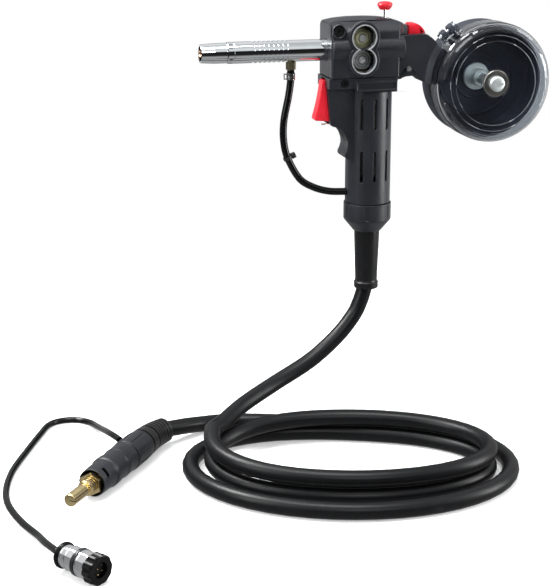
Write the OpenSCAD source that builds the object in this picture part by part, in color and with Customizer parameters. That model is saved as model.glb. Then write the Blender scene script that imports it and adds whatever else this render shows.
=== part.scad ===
// Spool gun for MIG welding: barrel, wire drive, pistol grip, 1 lb spool housing,
// power cable with its coil and plug, and the control lead with its connector.
// Origin on the axis of the grip at half its height. The barrel points to -X,
// the clear spool cover faces -Y and +Z is up. All sizes are in millimetres.

/* [Barrel] */
// Height of the barrel axis and wire line
wire_z = 90; // [88:0.5:92]
// Outer diameter of the barrel tube
barrel_d = 20.3; // [19:0.1:21]
// Cooling grooves turned in the barrel tube
groove_count = 8; // [4:1:9]
// Mouth diameter of the nozzle
nozzle_mouth_d = 17.4; // [16.6:0.1:18]

/* [Wire drive] */
// Diameter of the drive and pressure rolls
roll_d = 20.2; // [19.6:0.1:20.4]
// Teeth on the bevel pinion
pinion_teeth = 12; // [12:1:12]
// Teeth on the bevel gear
gear_teeth = 20; // [20:1:20]

/* [Grip] */
// Diameter of the grip
grip_d = 44; // [43:0.5:45]
// Vent slots in each row of each half
slot_count = 3; // [1:1:3]
// Inner radius of the grip, room for the motor
grip_bore_r = 19.3; // [18.8:0.1:19.6]
// Diameter of the motor
motor_d = 31; // [28:1:34]

/* [Spool housing] */
// Centre of the spool along X
spool_x = 119.5; // [119:0.5:121]
// Height of the spool centre
spool_z = 55.5; // [55:0.5:56]
// Outer radius of the black base
base_r = 57; // [56.5:0.5:57.5]
// Depth of the clear cover
cover_depth = 27; // [25:0.5:28]
// Depth of the black base
base_depth = 30; // [28:0.5:32]

/* [Cables] */
// Diameter of the power cable
cable_d = 15.5; // [14:0.5:15.5]
// Diameter of the control lead
lead_d = 6; // [5:0.5:6.5]
// Diameter of the gas hose
hose_d = 7; // [6.5:0.5:7]
// Height of the surface that the cable lies on
floor_z = -278; // [-279:0.5:-277]

/* [Fits] */
// Radial clearance of a turning fit
run_fit = 0.04; // [0.02:0.01:0.08]
// Radial clearance of a fixed part in its seat
seat_fit = 0.05; // [0.02:0.01:0.1]
// Free gap beside a moving part
free_gap = 0.3; // [0.2:0.05:0.5]
// Gap in the joint line between two shells
shell_gap = 0.1; // [0.05:0.05:0.2]

/* [Hidden] */
$fn = 64;

plastic = [0.17, 0.18, 0.2];
rubber = [0.12, 0.12, 0.13];
bright = [0.82, 0.84, 0.84];
brass = [0.8, 0.7, 0.45];
red = [0.85, 0.12, 0.18];
clear = [0.75, 0.82, 0.84];

// --- barrel stations along X
mouth_x = -165.6;
nozzle_end_x = -140.5;
ring_end_x = -134.3;
barrel_end_x = -37;
barrel_r = barrel_d / 2;
sleeve_r = 8.55;
nose_r = 8.15;
core_r = 6;
fitting_x = -77.8;
groove_from_x = -115.5;
groove_to_x = -83.6;

// --- housing
front_x = -44;
right_x = 23;
near_y = -23;
far_y = 19.5;
split_y = -13;
house_z0 = 64.9;
crown_r = 27;
crown_z = 121;
bulge_r = 11.8;
bulge_y = -14.8;
bulge_z = 92.4;
window_x = -13.6;
window_z = 92.4;
window_half = 10.9;
window_r = 11.8;
window_y = -26.8;
boss_r = 15.3;
cover_screw = [-37.6, 109.6];
back_screws = [[18.6, 72], [23.4, 108.3]];

// --- rolls, gears, arm and rod
roll_x = -9;
roll_r = roll_d / 2;
roll_gap = 0.4;
drive_z = wire_z - roll_r - roll_gap / 2;
press_z = wire_z + roll_r + roll_gap / 2;
roll_y0 = -5;
roll_y1 = 4.2;
shaft_r = 3;
bush_r = 5;
axle_r = 2.5;
cone_gear_r = 13;
cone_pinion_r = cone_gear_r * pinion_teeth / gear_teeth;
cone_inner = 0.823;
gear_tooth_tip = 15.1;
gear_tooth_root = 10.9;
pinion_tooth_tip = 8.95;
pinion_tooth_root = 6.4;
pinion_shaft_r = 2.5;
arm_x = -30;
arm_z = 100;
arm_y0 = 6.4;
arm_y1 = 11.4;
rod_x = 14.5;
rod_r = 1.2;
rod_foot_z = 95.6;
arm_foot_z = 96.2;
arm_top_z = 100.6;
rod_collar_z = 101.4;
bush_z0 = 114;
bush_z1 = 117;
knob_z = 126.2;

// --- grip, trigger and collar
grip_r = grip_d / 2;
block_y = 13;
head_z0 = 51;
grip_z0 = -58.8;
spigot_r = 20.4;
spigot_z0 = -72;
gear_head_r = 18.15;
trigger_x = -38;
trigger_z = 58;
trigger_y = 6;
pin_r = 2;
grip_screw = [-30.5, 59.9];
low_screw = [-23.2, -9.4];
slot_w = 2.4;
slot_l = 30;
slot_z = [14, -36.5];
slot_a = [0, 36, -34];
collar_r = 23.2;
collar_z1 = -59.2;
boot_hole_r = 12.8;
boot_bore_r = cable_d / 2 + 0.1;

// --- spool housing
cover_r = base_r + 1;
wall = 2.5;
lip_r = base_r - 1.8;
flange_y = base_depth - wall - 0.1;
hub_hole_r = 14.3;
hinge_a = 131.5;
hinge_r = base_r + 8.4;
hinge_y = -5;
hinge_pin_r = 1.25;
knuckle_r = 4.2;
knuckle_l = 5.4;
knuckle_x = 4.4;
hub_thread_r = 4;
inch_x = 51.5;
inch_z = 102.2;
inch_pin_r = 1.5;
inch_y = 6.5;
neck_y = 15;
neck_screw = [35, 71];

// --- routes, chosen by hand
cable_r = cable_d / 2;
lead_r = lead_d / 2;
hose_r = hose_d / 2;
floor_cable_z = floor_z + cable_r + 0.05;

hose_route = [
    [-78, 0, 72], [-78, 0, 62], [-80, 0, 47], [-84.5, 0, 24], [-84.8, 0, 5], [-80.7, 0, -12.5],
    [-69, 0, -33], [-55, 0, -42.3], [-40, 0, -47], [-26, 0, -48.2], [-16, 0, -48.2]
];
drop_route = [
    [0, 0, -76], [0, 0, -108], [0, 0, -128], [-0.4, -0.1, -137.5], [-1.9, -0.5, -147],
    [-6.2, -1.6, -160], [-13.9, -3.5, -174], [-32, -8, -193], [-62, -17, -213],
    [-104, -33, -229], [-140, -58, -238], [-166, -86, -243]
];
tail_route = [
    [-92, -30, floor_cable_z], [-120, -20, floor_cable_z], [-150, -14, floor_cable_z],
    [-172, -18, -269], [-190, -27, -266]
];
lead_route = [
    [-263.9, -68, -255.4], [-265.8, -60.5, -255.9], [-267.4, -50, -257.6], [-268.7, -33.6, -261.2],
    [-270.1, -14, -266], [-271.4, 3, -270], [-272.7, 18, -273.2], [-276.1, 30, -274.8],
    [-284.8, 38.8, -275], [-296.7, 42, -275], [-308.6, 38.8, -275], [-317.4, 30, -275],
    [-326, 11, -275], [-340, -22, -275], [-362, -78, -275], [-372, -122, -275], [-373, -156, -275],
    [-366, -193, -275], [-356, -228, -273], [-352, -254, -269]
];

// --- power cable coil
coil_c = [-60.4, -149.6];
coil_u = [0.968, -0.25];
coil_v = [0.25, 0.968];
coil_loops = 2.75;
coil_rings = 24;
coil_a = [127, 20];
coil_b = [77, 31];
coil_low_z = floor_z + 7.8;
coil_rise = 16.6;

// --- plug and connector frames
plug_at = [-237, -65.7, -263];
plug_a = -125.4;
plug_bend = 18.6;
power_pin_r = 5.8;
boot_back = 6;
boot_arc = 30;
conn_at = [-347, -281, -264.7];
conn_a = -56.2;
conn_lobes = 10;
conn_phase = 130;

// --- small helpers
function mix(a, b, t) = a + (b - a) * t;
function step01(t) = let(u = min(max(t, 0), 1)) u * u * (3 - 2 * u);
function unit(v) = v / norm(v);

// Catmull-Rom point between p[i] and p[i + 1]
function spline_at(p, i, t) =
    let(n = len(p) - 1, a = p[max(i - 1, 0)], b = p[i], c = p[min(i + 1, n)], d = p[min(i + 2, n)])
    0.5 * (2 * b + (c - a) * t + (2 * a - 5 * b + 4 * c - d) * t * t + (3 * b - a - 3 * c + d) * t * t * t);
function spline(p, n) = concat(
    [for (i = [0 : len(p) - 2], k = [0 : n - 1]) spline_at(p, i, k / n)],
    [p[len(p) - 1]]
);
function path_dir(p, i) = unit(p[min(i + 1, len(p) - 1)] - p[max(i - 1, 0)]);

// Ring of n points round the path point c, square to the direction d
function ring_at(c, d, up, r, n) =
    let(e = unit(cross(d, up)), f = cross(e, d))
    [for (k = [0 : n - 1]) c + r * (cos(360 * k / n) * e + sin(360 * k / n) * f)];

// Closed tube through the path points; first and last are its end directions
module sweep(p, r, n, up, first, last) {
    m = len(p);
    dirs = [for (i = [0 : m - 1]) i == 0 ? unit(first) : i == m - 1 ? unit(last) : path_dir(p, i)];
    pts = [for (i = [0 : m - 1]) each ring_at(p[i], dirs[i], up, r, n)];
    sides = [for (i = [0 : m - 2], k = [0 : n - 1])
        each [
            [i * n + k, (i + 1) * n + k, (i + 1) * n + (k + 1) % n],
            [i * n + k, (i + 1) * n + (k + 1) % n, i * n + (k + 1) % n]
        ]];
    start_cap = [[for (k = [0 : n - 1]) k]];
    end_cap = [[for (k = [n - 1 : -1 : 0]) (m - 1) * n + k]];
    polyhedron(points = pts, faces = concat(sides, start_cap, end_cap), convexity = 10);
}

module along_x(x = 0) {
    translate([x, 0, wire_z])
        rotate([0, 90, 0])
            children();
}

// Turned solid round the wire line; the points are [radius, x]
module turned_x(pts) {
    translate([0, 0, wire_z])
        rotate([0, 90, 0])
            rotate_extrude()
                polygon(pts);
}

// Turned solid round a line along Y through [x, z]; the points are [radius, y]
module turned_y(at, pts) {
    translate([at[0], 0, at[1]])
        rotate([-90, 0, 0])
            rotate_extrude()
                polygon(pts);
}

// Straight pin along Y through [x, z] from y0 to y1
module pin_y(at, r, y0, y1) {
    translate([at[0], y0, at[1]])
        rotate([-90, 0, 0])
            cylinder(r = r, h = y1 - y0);
}

// Plate with the outline of [x, z] points from y0 to y1
module plate_y(y0, y1) {
    translate([0, y1, 0])
        rotate([90, 0, 0])
            linear_extrude(y1 - y0)
                children();
}

module box(x0, x1, y0, y1, z0, z1) {
    translate([x0, y0, z0])
        cube([x1 - x0, y1 - y0, z1 - z0]);
}

module tube(r_out, r_in, h) {
    difference() {
        cylinder(r = r_out, h = h);
        translate([0, 0, -1])
            cylinder(r = r_in, h = h + 2);
    }
}

// ---------------------------------------------------------------- barrel

module nozzle() {
    color(bright)
        turned_x([
            [7, mouth_x + 0.3], [nozzle_mouth_d / 2 - 0.4, mouth_x], [nozzle_mouth_d / 2, mouth_x + 0.4],
            [9.5, mouth_x + 13], [9.55, nozzle_end_x - 0.6], [9, nozzle_end_x],
            [nose_r + seat_fit, nozzle_end_x], [nose_r + seat_fit, -149.9], [7.4, -150.6], [7, -163]
        ]);
}

// Slotted grip ring behind the nozzle
module nozzle_ring() {
    color(bright)
        difference() {
            turned_x([
                [nose_r + seat_fit, nozzle_end_x + 0.1], [9.6, nozzle_end_x + 0.1],
                [10.1, nozzle_end_x + 0.6], [10.1, ring_end_x - 0.1], [nose_r + seat_fit, ring_end_x - 0.1]
            ]);
            for (k = [0 : 11])
                along_x(nozzle_end_x + 1.4)
                    rotate([0, 0, 30 * k])
                        translate([9.4, -0.6, 0])
                            cube([2, 1.2, 3.4]);
        }
}

module contact_tip() {
    color([0.72, 0.42, 0.28])
        turned_x([
            [0.6, -163.6], [1.9, -163.6], [4, -160.5], [4, -146], [2.9, -146], [2.9, -139], [0.6, -139]
        ]);
}

module gas_diffuser() {
    color(brass)
        difference() {
            turned_x([
                [2.95, -145.9], [5.8, -145.9], [6.2, -145.4], [6.2, -128.1], [2.95, -128.1],
                [2.95, -120], [1.6, -120], [1.6, -138.8], [2.95, -138.8]
            ]);
            for (k = [0 : 5])
                along_x(-134)
                    rotate([0, 0, 60 * k])
                        rotate([0, 90, 0])
                            translate([0, 0, 1])
                                cylinder(r = 0.9, h = 8);
        }
}

module barrel_tube() {
    pitch = (groove_to_x - groove_from_x) / (groove_count - 1);
    color(bright)
        difference() {
            turned_x([
                [sleeve_r + seat_fit, ring_end_x], [barrel_r - 0.5, ring_end_x],
                [barrel_r, ring_end_x + 0.5], [barrel_r, barrel_end_x], [sleeve_r + seat_fit, barrel_end_x]
            ]);
            for (k = [0 : groove_count - 1])
                along_x(groove_from_x + k * pitch - 1)
                    tube(barrel_r + 1, barrel_r - 0.7, 2);
            translate([fitting_x, 0, wire_z - 12])
                cylinder(r = 2.9, h = 8);
        }
}

module conductor_tube() {
    color(brass)
        difference() {
            turned_x([[3, -128], [core_r, -128], [core_r, -33], [3, -33]]);
            translate([fitting_x, 0, wire_z - 8])
                cylinder(r = 2.5 + seat_fit, h = 6);
        }
}

// Insulating sleeve between the live core and the barrel tube, with the nozzle seat
module barrel_sleeve() {
    color([0.55, 0.2, 0.14])
        difference() {
            turned_x([
                [6.9, -149.8], [nose_r, -149.8], [nose_r, ring_end_x], [sleeve_r, ring_end_x],
                [sleeve_r, barrel_end_x], [core_r + seat_fit, barrel_end_x], [core_r + seat_fit, -128],
                [6.9, -128]
            ]);
            translate([fitting_x, 0, wire_z - 12])
                cylinder(r = 2.9, h = 8);
        }
}

// Hexagon elbow body with a threaded shank above and a hose barb below
module gas_fitting() {
    hex_r = 8.7 / 2 / cos(30);
    color(brass)
        translate([fitting_x, 0, 0])
            difference() {
                union() {
                    translate([0, 0, 72.5])
                        cylinder(r = hex_r, h = 7.1, $fn = 6);
                    translate([0, 0, 79.6])
                        cylinder(r = 2.5, h = 7);
                    rotate_extrude()
                        polygon([
                            [0, 63.6], [1.8, 63.6], [2.2, 66], [1.9, 66], [2.2, 68.6], [1.9, 68.6],
                            [2.2, 71.4], [2.2, 72.5], [0, 72.5]
                        ]);
                }
                translate([0, 0, 63])
                    cylinder(r = 1.2, h = 24);
            }
}

module hose_clamp() {
    color(bright)
        translate([-78, 0, 62.6])
            union() {
                tube(hose_r + 0.75, hose_r + seat_fit, 6.6);
                difference() {
                    box(-hose_r - 3.4, -hose_r - 0.3, -1.6, 1.6, 0.6, 6);
                    box(-hose_r - 2.7, -hose_r - 0.8, -2, 2, 1.3, 5.3);
                }
            }
}

module gas_hose() {
    color(rubber)
        sweep(spline(hose_route, 2), hose_r, 10, [0, 1, 0], [0, 0, -1], [1, 0, 0]);
}

// Strap round the hose with its lock head and cut tail
module hose_tie() {
    color(rubber)
        translate([-80.7, 0, -12.5])
            rotate([0, -24, 0])
                union() {
                    translate([0, 0, -1.6])
                        tube(hose_r + 0.9, hose_r + 0.1, 3.2);
                    box(hose_r + 0.4, hose_r + 4.6, -2.4, 2.4, -2.4, 2.4);
                    box(hose_r + 1.6, hose_r + 2.6, 2, 6.5, -1.5, 1.5);
                }
}

// ---------------------------------------------------------------- housing

module house_outline() {
    polygon([
        [front_x, house_z0], [front_x, 115.4], [front_x + 1, 116.8], [-34, 119], [-23, 120.5],
        [-10, 121], [7, 119.6], [17, 118.1], [24, 116.6], [28, 114.6], [30, 111.8], [30.2, 109],
        [30.2, 104.4], [right_x, 104.4], [right_x, house_z0]
    ]);
}

// Crowned block of the whole housing
module house_block() {
    intersection() {
        plate_y(near_y, far_y)
            house_outline();
        translate([front_x - 1, 0, 0])
            rotate([90, 0, 90])
                linear_extrude(80)
                    union() {
                        translate([0, crown_z - crown_r])
                            circle(r = crown_r);
                        translate([near_y - 1, 40])
                            square([far_y - near_y + 2, crown_z - crown_r - 40]);
                    }
        linear_extrude(200)
            polygon([
                [front_x, near_y + 1.5], [front_x + 1.5, near_y], [right_x - 1, near_y],
                [right_x, near_y + 1], [30.2, -11], [30.2, 12], [right_x, far_y], [front_x, far_y]
            ]);
    }
}

// Wire chamber inside the housing
module chamber() {
    plate_y(split_y - 1, 14)
        polygon([
            [-34.6, 69], [-34.6, 106], [-30, 114], [-22, 117.2], [-9, 117.6], [6, 116.4],
            [14, 115], [20, 112.4], [20, 69]
        ]);
}

module shaft_boss(y0, y1, r) {
    pin_y([roll_x, drive_z], r, y0, y1);
}

module drive_housing() {
    color(plastic)
        difference() {
            union() {
                difference() {
                    intersection() {
                        house_block();
                        box(-60, 60, split_y, 30, 0, 200);
                    }
                    chamber();
                }
                shaft_boss(12, far_y, 8);
                for (p = back_screws)
                    pin_y(p, 3.6, split_y, 15);
                difference() {
                    pin_y(cover_screw, 4.2, split_y, 12);
                    box(-60, front_x, -20, 20, 90, 130);
                }
                pin_y([arm_x, arm_z], 5, arm_y1 + free_gap, 15);
                box(right_x - 1, 44, -12.3, 12.3, 66.9, 75);
            }
            // barrel seat and core seat in the front wall
            along_x(front_x - 1)
                cylinder(r = barrel_r + seat_fit, h = barrel_end_x - front_x + 1.05);
            along_x(-37.5)
                cylinder(r = core_r + seat_fit, h = 8);
            // inlet guide seat in the right wall
            along_x(19)
                cylinder(r = 3.5 + seat_fit, h = 12);
            // open floor over the gear head
            box(-26, 8, -10.5, 12, house_z0 - 1, 69.1);
            // shaft bushes
            shaft_boss(11.4, far_y + 1, bush_r + seat_fit);
            // arm pivot pin
            pin_y([arm_x, arm_z], pin_r + seat_fit, 5, 17);
            // top bush seat
            translate([rod_x, 0, 110])
                cylinder(r = 3.4 + seat_fit, h = 20);
            translate([rod_x, 0, bush_z1])
                cylinder(r = 5, h = 10);
            // screws
            pin_y(cover_screw, 1.7, -14, 8);
            for (p = back_screws) {
                pin_y(p, 1.8, -14, far_y + 1);
                pin_y(p, 3.6, far_y - 3, far_y + 1);
            }
            for (s = [-1, 1])
                translate([neck_screw[0], s * 13, neck_screw[1]])
                    rotate([s * 90, 0, 0])
                        cylinder(r = 1.4, h = 9);
        }
}

module figure_eight(r, y0, y1) {
    for (s = [-1, 1])
        pin_y([window_x, window_z + s * window_half], r, y0, y1);
}

// Near shell of the housing with the round-backed rib and the window boss
module side_cover() {
    color(plastic)
        difference() {
            union() {
                intersection() {
                    house_block();
                    box(-60, 60, -40, split_y - shell_gap, 0, 200);
                }
                intersection() {
                    translate([front_x + 1, bulge_y, bulge_z])
                        rotate([0, 90, 0])
                            cylinder(r = bulge_r, h = 27.6 - front_x - 1);
                    union() {
                        box(-60, right_x, -40, split_y - shell_gap, 0, 200);
                        box(-60, 60, -40, -neck_y - shell_gap, 0, 200);
                    }
                }
                figure_eight(boss_r, window_y, -20);
                pin_y(cover_screw, 6.6, -24.2, -20);
            }
            // hollow behind the plate
            plate_y(-20, split_y)
                polygon([[-33, 70], [-33, 103], [-28, 111], [14, 111], [14, 102], [19, 100], [19, 76], [14, 70]]);
            // window opening with the rim seat
            figure_eight(window_r - 1, -40, 0);
            figure_eight(window_r + 0.5, -40, window_y + 2.2);
            // sunk screw
            pin_y(cover_screw, 5.2, -40, -21);
            pin_y(cover_screw, 2.1, -40, 0);
            for (p = back_screws)
                pin_y(p, 1.4, -18.5, 0);
        }
}

module window_rim() {
    color(bright)
        difference() {
            figure_eight(window_r + 0.45, window_y - 0.5, window_y + 1);
            figure_eight(window_r - 0.5, window_y - 2, window_y + 3);
        }
}

module window() {
    color(clear)
        figure_eight(window_r + 0.4, window_y + 1.05, window_y + 2.15);
}

// Socket-head screw along +Y, its head's outer face at the origin
module screw(head_r, head_h, shank_r, len) {
    rotate([-90, 0, 0])
        difference() {
            union() {
                cylinder(r = head_r, h = head_h);
                cylinder(r = shank_r, h = len);
            }
            translate([0, 0, -1])
                cylinder(r = head_r * 0.5, h = 2.4, $fn = 6);
        }
}

module case_screws() {
    color(bright) {
        translate([cover_screw[0], -24, cover_screw[1]])
            screw(4.4, 2.95, 1.65, 30);
        for (p = back_screws)
            translate([p[0], far_y - 0.2, p[1]])
                rotate([0, 0, 180])
                    screw(3.4, 2.75, 1.35, 37);
        for (s = [-1, 1])
            translate([neck_screw[0], s * (neck_y + 0.6), neck_screw[1]])
                rotate([0, 0, s > 0 ? 180 : 0])
                    screw(2.6, 1.9, 1.35, 9);
        translate([grip_screw[0], -21.4, grip_screw[1]])
            screw(3.4, 3.3, 1.65, 32);
        translate([low_screw[0], 12.8, low_screw[1]])
            rotate([0, 0, 180])
                screw(2.9, 2.5, 1.35, 20);
    }
}

// Outlet guide in the core tube and inlet guide in the right wall
module wire_guides() {
    color(brass) {
        turned_x([[0.6, -36], [2.95, -36], [2.95, -28], [2.4, -27], [2.4, -20], [0.95, -14], [0.6, -14]]);
        turned_x([
            [0.6, -4], [0.95, -4], [2.4, 2], [2.4, 17], [3.5, 19.4], [3.5, 27], [2.4, 28], [1.6, 28], [0.6, 22]
        ]);
    }
}

// ---------------------------------------------------------------- wire drive

// Roll profile with a wire groove and stepped face rings
function roll_pts(bore, ring_a, ring_b) = [
    [bore, roll_y0 + 0.6], [ring_b / 2, roll_y0 + 0.6], [ring_b / 2, roll_y0], [ring_a / 2, roll_y0],
    [ring_a / 2 + 0.4, roll_y0 + 0.9], [roll_r - 1, roll_y0 + 0.9], [roll_r, roll_y0 + 1.6],
    [roll_r, -0.6], [roll_r - 0.5, 0], [roll_r, 0.6], [roll_r, roll_y1 - 0.4], [roll_r - 0.4, roll_y1],
    [bore, roll_y1]
];

module drive_roll() {
    color([0.42, 0.44, 0.44])
        turned_y([roll_x, drive_z], roll_pts(shaft_r + seat_fit, 17.6, 8));
}

module drive_roll_screw() {
    color(bright)
        translate([roll_x, roll_y0 - 1.6, drive_z])
            screw(3.25, 2.1, 2, 6.6);
}

module drive_shaft() {
    color([0.6, 0.62, 0.63])
        turned_y([roll_x, drive_z], [
            [2.05, roll_y0 + 0.6], [shaft_r, roll_y0 + 0.6], [shaft_r, 19], [shaft_r - 0.4, far_y - 0.1],
            [0, far_y - 0.1], [0, 1], [2.05, 1]
        ]);
}

module shaft_bushes() {
    color(brass)
        for (y = [12, 16.4])
            turned_y([roll_x, drive_z], [
                [shaft_r + run_fit, y], [bush_r, y], [bush_r, y + 3], [shaft_r + run_fit, y + 3]
            ]);
}

// Flat star of straight-sided teeth, the section of a bevel gear at its wide end
module tooth_star(n, root, mid, tip) {
    polygon([for (k = [0 : n - 1])
        let(a = 360 * k / n, p = 360 / n)
        each [
            root * [cos(a - 0.31 * p), sin(a - 0.31 * p)],
            mid * [cos(a - 0.19 * p), sin(a - 0.19 * p)],
            tip * [cos(a - 0.07 * p), sin(a - 0.07 * p)],
            tip * [cos(a + 0.07 * p), sin(a + 0.07 * p)],
            mid * [cos(a + 0.19 * p), sin(a + 0.19 * p)],
            root * [cos(a + 0.31 * p), sin(a + 0.31 * p)]
        ]]);
}

// The cones of both gears meet where the shaft lines cross
module bevel_gear() {
    color([0.62, 0.6, 0.52])
        translate([roll_x, 0, drive_z])
            rotate([-90, 0, 0])
                difference() {
                    union() {
                        translate([0, 0, cone_pinion_r])
                            mirror([0, 0, 1])
                                linear_extrude(cone_pinion_r * (1 - cone_inner), scale = cone_inner)
                                    tooth_star(gear_teeth, gear_tooth_root, cone_gear_r, gear_tooth_tip);
                        translate([0, 0, cone_pinion_r])
                            cylinder(r = gear_tooth_root, h = 1);
                        translate([0, 0, cone_pinion_r])
                            cylinder(r = 5.2, h = 3.4);
                    }
                    cylinder(r = shaft_r + seat_fit, h = 30);
                }
}

module bevel_pinion() {
    color([0.62, 0.6, 0.52])
        translate([roll_x, 0, drive_z - cone_gear_r]) {
            rotate([0, 0, 15])
                linear_extrude(cone_gear_r * (1 - cone_inner), scale = cone_inner)
                    tooth_star(pinion_teeth, pinion_tooth_root, cone_pinion_r, pinion_tooth_tip);
            translate([0, 0, -1.6])
                cylinder(r = 5.6, h = 1.6);
            translate([0, 0, -14])
                cylinder(r = pinion_shaft_r, h = 12.6);
        }
}

// Swinging arm with the axle of the pressure roll and the seat of the tension rod
module pressure_arm() {
    color([0.5, 0.52, 0.53])
        difference() {
            union() {
                pin_y([arm_x, arm_z], 4.6, arm_y0, arm_y1);
                plate_y(arm_y0, arm_y1)
                    polygon([[-30, 96], [-30, 104.6], [-6, 104.6], [2, 102.4], [rod_x + 4, 100.6],
                        [rod_x + 4, arm_foot_z], [-9, 95.6]]);
                box(rod_x - 4, rod_x + 4, -3.6, arm_y0 + 1, arm_foot_z, arm_top_z);
                pin_y([roll_x, press_z], 4.4, arm_y0 - 1.4, arm_y0 + 1);
                pin_y([roll_x, press_z], axle_r, roll_y0 - 0.6, arm_y0);
                pin_y([roll_x, press_z], 3.3, roll_y0 - 1.8, roll_y0 + 0.3);
            }
            pin_y([arm_x, arm_z], pin_r + run_fit, 0, 20);
            for (dx = [-1, 0, 1])
                translate([rod_x + dx, 0, 90])
                    cylinder(r = rod_r + 0.9, h = 20);
        }
}

module pressure_roll() {
    color([0.62, 0.6, 0.42])
        turned_y([roll_x, press_z], roll_pts(axle_r + run_fit, 14.2, 9.6));
}

module tension_rod() {
    color(bright)
        translate([rod_x, 0, 0])
            rotate_extrude()
                polygon([
                    [0, 93.9], [3, 93.9], [3.2, 94.1], [3.2, rod_foot_z], [rod_r, rod_foot_z],
                    [rod_r, rod_collar_z], [4, rod_collar_z], [4, rod_collar_z + 1.4],
                    [rod_r, rod_collar_z + 1.4], [rod_r, knob_z + 4], [0, knob_z + 4]
                ]);
}

module tension_knob() {
    color(red)
        translate([rod_x, 0, knob_z])
            difference() {
                rotate_extrude()
                    polygon([
                        [0, 0], [4.6, 0], [6.6, 2.6], [7.2, 4.2], [7.2, 5], [6.8, 5.9], [6, 6.6],
                        [4.8, 7.2], [2.6, 7.6], [0, 7.7]
                    ]);
                translate([0, 0, -1])
                    cylinder(r = rod_r + seat_fit, h = 5.05);
            }
}

module top_bush() {
    color(bright)
        translate([rod_x, 0, 0])
            rotate_extrude()
                polygon([
                    [rod_r + run_fit, bush_z0], [3.4, bush_z0], [3.4, bush_z1], [4.7, bush_z1],
                    [4.7, bush_z1 + 1], [4.3, bush_z1 + 1.4], [rod_r + run_fit, bush_z1 + 1.4]
                ]);
}

module tension_spring() {
    wire = 0.4;
    mean = 2.7;
    turns = 5;
    z0 = rod_collar_z + 1.4 + wire + 0.02;
    z1 = bush_z0 - wire - 0.02;
    rings = 8 * turns;
    p = [for (i = [0 : rings])
        [rod_x + mean * cos(45 * i), mean * sin(45 * i), mix(z0, z1, i / rings)]];
    color(bright)
        sweep(p, wire, 6, [0, 0, 1], p[1] - p[0], p[rings] - p[rings - 1]);
}

// ---------------------------------------------------------------- grip

module block_outline() {
    polygon([
        [-45.8, 64.8], [-45.8, 62], [-41.6, 20.4], [-40.6, 18.6], [-38, 17.6], [-33.6, 16.4],
        [-29.6, 13.6], [-26.6, 9], [-24.6, 3.4], [-24.3, -1], [-25.4, -5.4], [-27.2, -9.4],
        [-27.4, -11], [-26.6, -12.6], [-24.3, -14.3], [-15, -18], [0, -18], [0, 64.8]
    ]);
}

module vent_slots() {
    for (z = slot_z, i = [0 : slot_count - 1], side = [0, 180])
        rotate([0, 0, side == 0 ? slot_a[i] : 180 - slot_a[i]])
            translate([0, -25, z])
                union() {
                    box(-slot_w / 2, slot_w / 2, 0, 10, slot_w / 2, slot_l - slot_w / 2);
                    for (e = [slot_w / 2, slot_l - slot_w / 2])
                        translate([0, 0, e])
                            rotate([-90, 0, 0])
                                cylinder(r = slot_w / 2, h = 10);
                }
}

// The whole grip before it is parted
module grip_body() {
    difference() {
        union() {
            translate([0, 0, grip_z0])
                cylinder(r = grip_r, h = head_z0 - grip_z0 + 1);
            translate([0, 0, spigot_z0])
                cylinder(r = spigot_r, h = 20);
            plate_y(-block_y, block_y)
                block_outline();
            box(-45.8, -20.4, near_y + 2, far_y, head_z0 + 4, house_z0 - shell_gap);
            box(-20.6, 21.3, near_y + 1, far_y, head_z0, 61.5);
            box(-20.6, right_x - 1.2, near_y + 2, far_y, 61, house_z0 - shell_gap);
        }
        // recess in the edge of the ledge
        box(-18, 19.5, near_y - 1, near_y + 2.2, head_z0 + 2.4, 59.3);
        // motor room, gear head seat and cable end
        translate([0, 0, grip_z0 + 2])
            cylinder(r = grip_bore_r, h = 98);
        translate([0, 0, 38])
            cylinder(r = gear_head_r + seat_fit, h = 40);
        translate([0, 0, spigot_z0 - 1])
            cylinder(r = 17.4, h = 20);
        // trigger slot and switch pocket
        box(-70, -31, -trigger_y - free_gap, trigger_y + free_gap, 15, 63.4);
        box(-31.2, -17, -3.4, 3.4, 23.6, 44.6);
        // hose entry
        translate([-30, 0, -48.2])
            rotate([0, 90, 0])
                cylinder(r = hose_r + 0.1, h = 12);
        vent_slots();
        // pins and screws
        pin_y([trigger_x, trigger_z], pin_r + seat_fit, -10.5, 10.5);
        pin_y(grip_screw, 1.7, near_y, 12);
        pin_y(grip_screw, 3.6, near_y, -18);
        pin_y(low_screw, 1.4, -8, 20);
        pin_y(low_screw, 3.1, 10.2, 20);
    }
}

module handle_near() {
    color(plastic)
        intersection() {
            grip_body();
            box(-60, 40, -40, -shell_gap / 2, -90, 80);
        }
}

module handle_far() {
    color(plastic)
        intersection() {
            grip_body();
            box(-60, 40, shell_gap / 2, 40, -90, 80);
        }
}

module motor() {
    r = motor_d / 2;
    color([0.55, 0.57, 0.58])
        union() {
            rotate_extrude()
                polygon([
                    [0, -36], [3.4, -36], [3.4, -32], [r - 2, -32], [r - 1, -31], [r - 1, -22], [r, -21],
                    [r, 36.6], [r - 1, 38], [0, 38]
                ]);
            for (s = [-1, 1])
                translate([s * 8 - 1.5, -1, -35])
                    cube([3, 2, 4]);
        }
}

module gear_head() {
    color([0.7, 0.71, 0.7])
        difference() {
            union() {
                translate([0, 0, 38.1])
                    cylinder(r = gear_head_r, h = 13.9);
                translate([roll_x, 0, 51.9])
                    cylinder(r = 6.5, h = 8.6);
                translate([0, 0, 51.9])
                    cylinder(r = 14, h = 2);
            }
            translate([roll_x, 0, 52])
                cylinder(r = pinion_shaft_r + run_fit, h = 12);
            for (k = [0 : 2])
                rotate([0, 0, 120 * k])
                    translate([15.8, 0, 49])
                        cylinder(r = 1.2, h = 5);
        }
}

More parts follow.
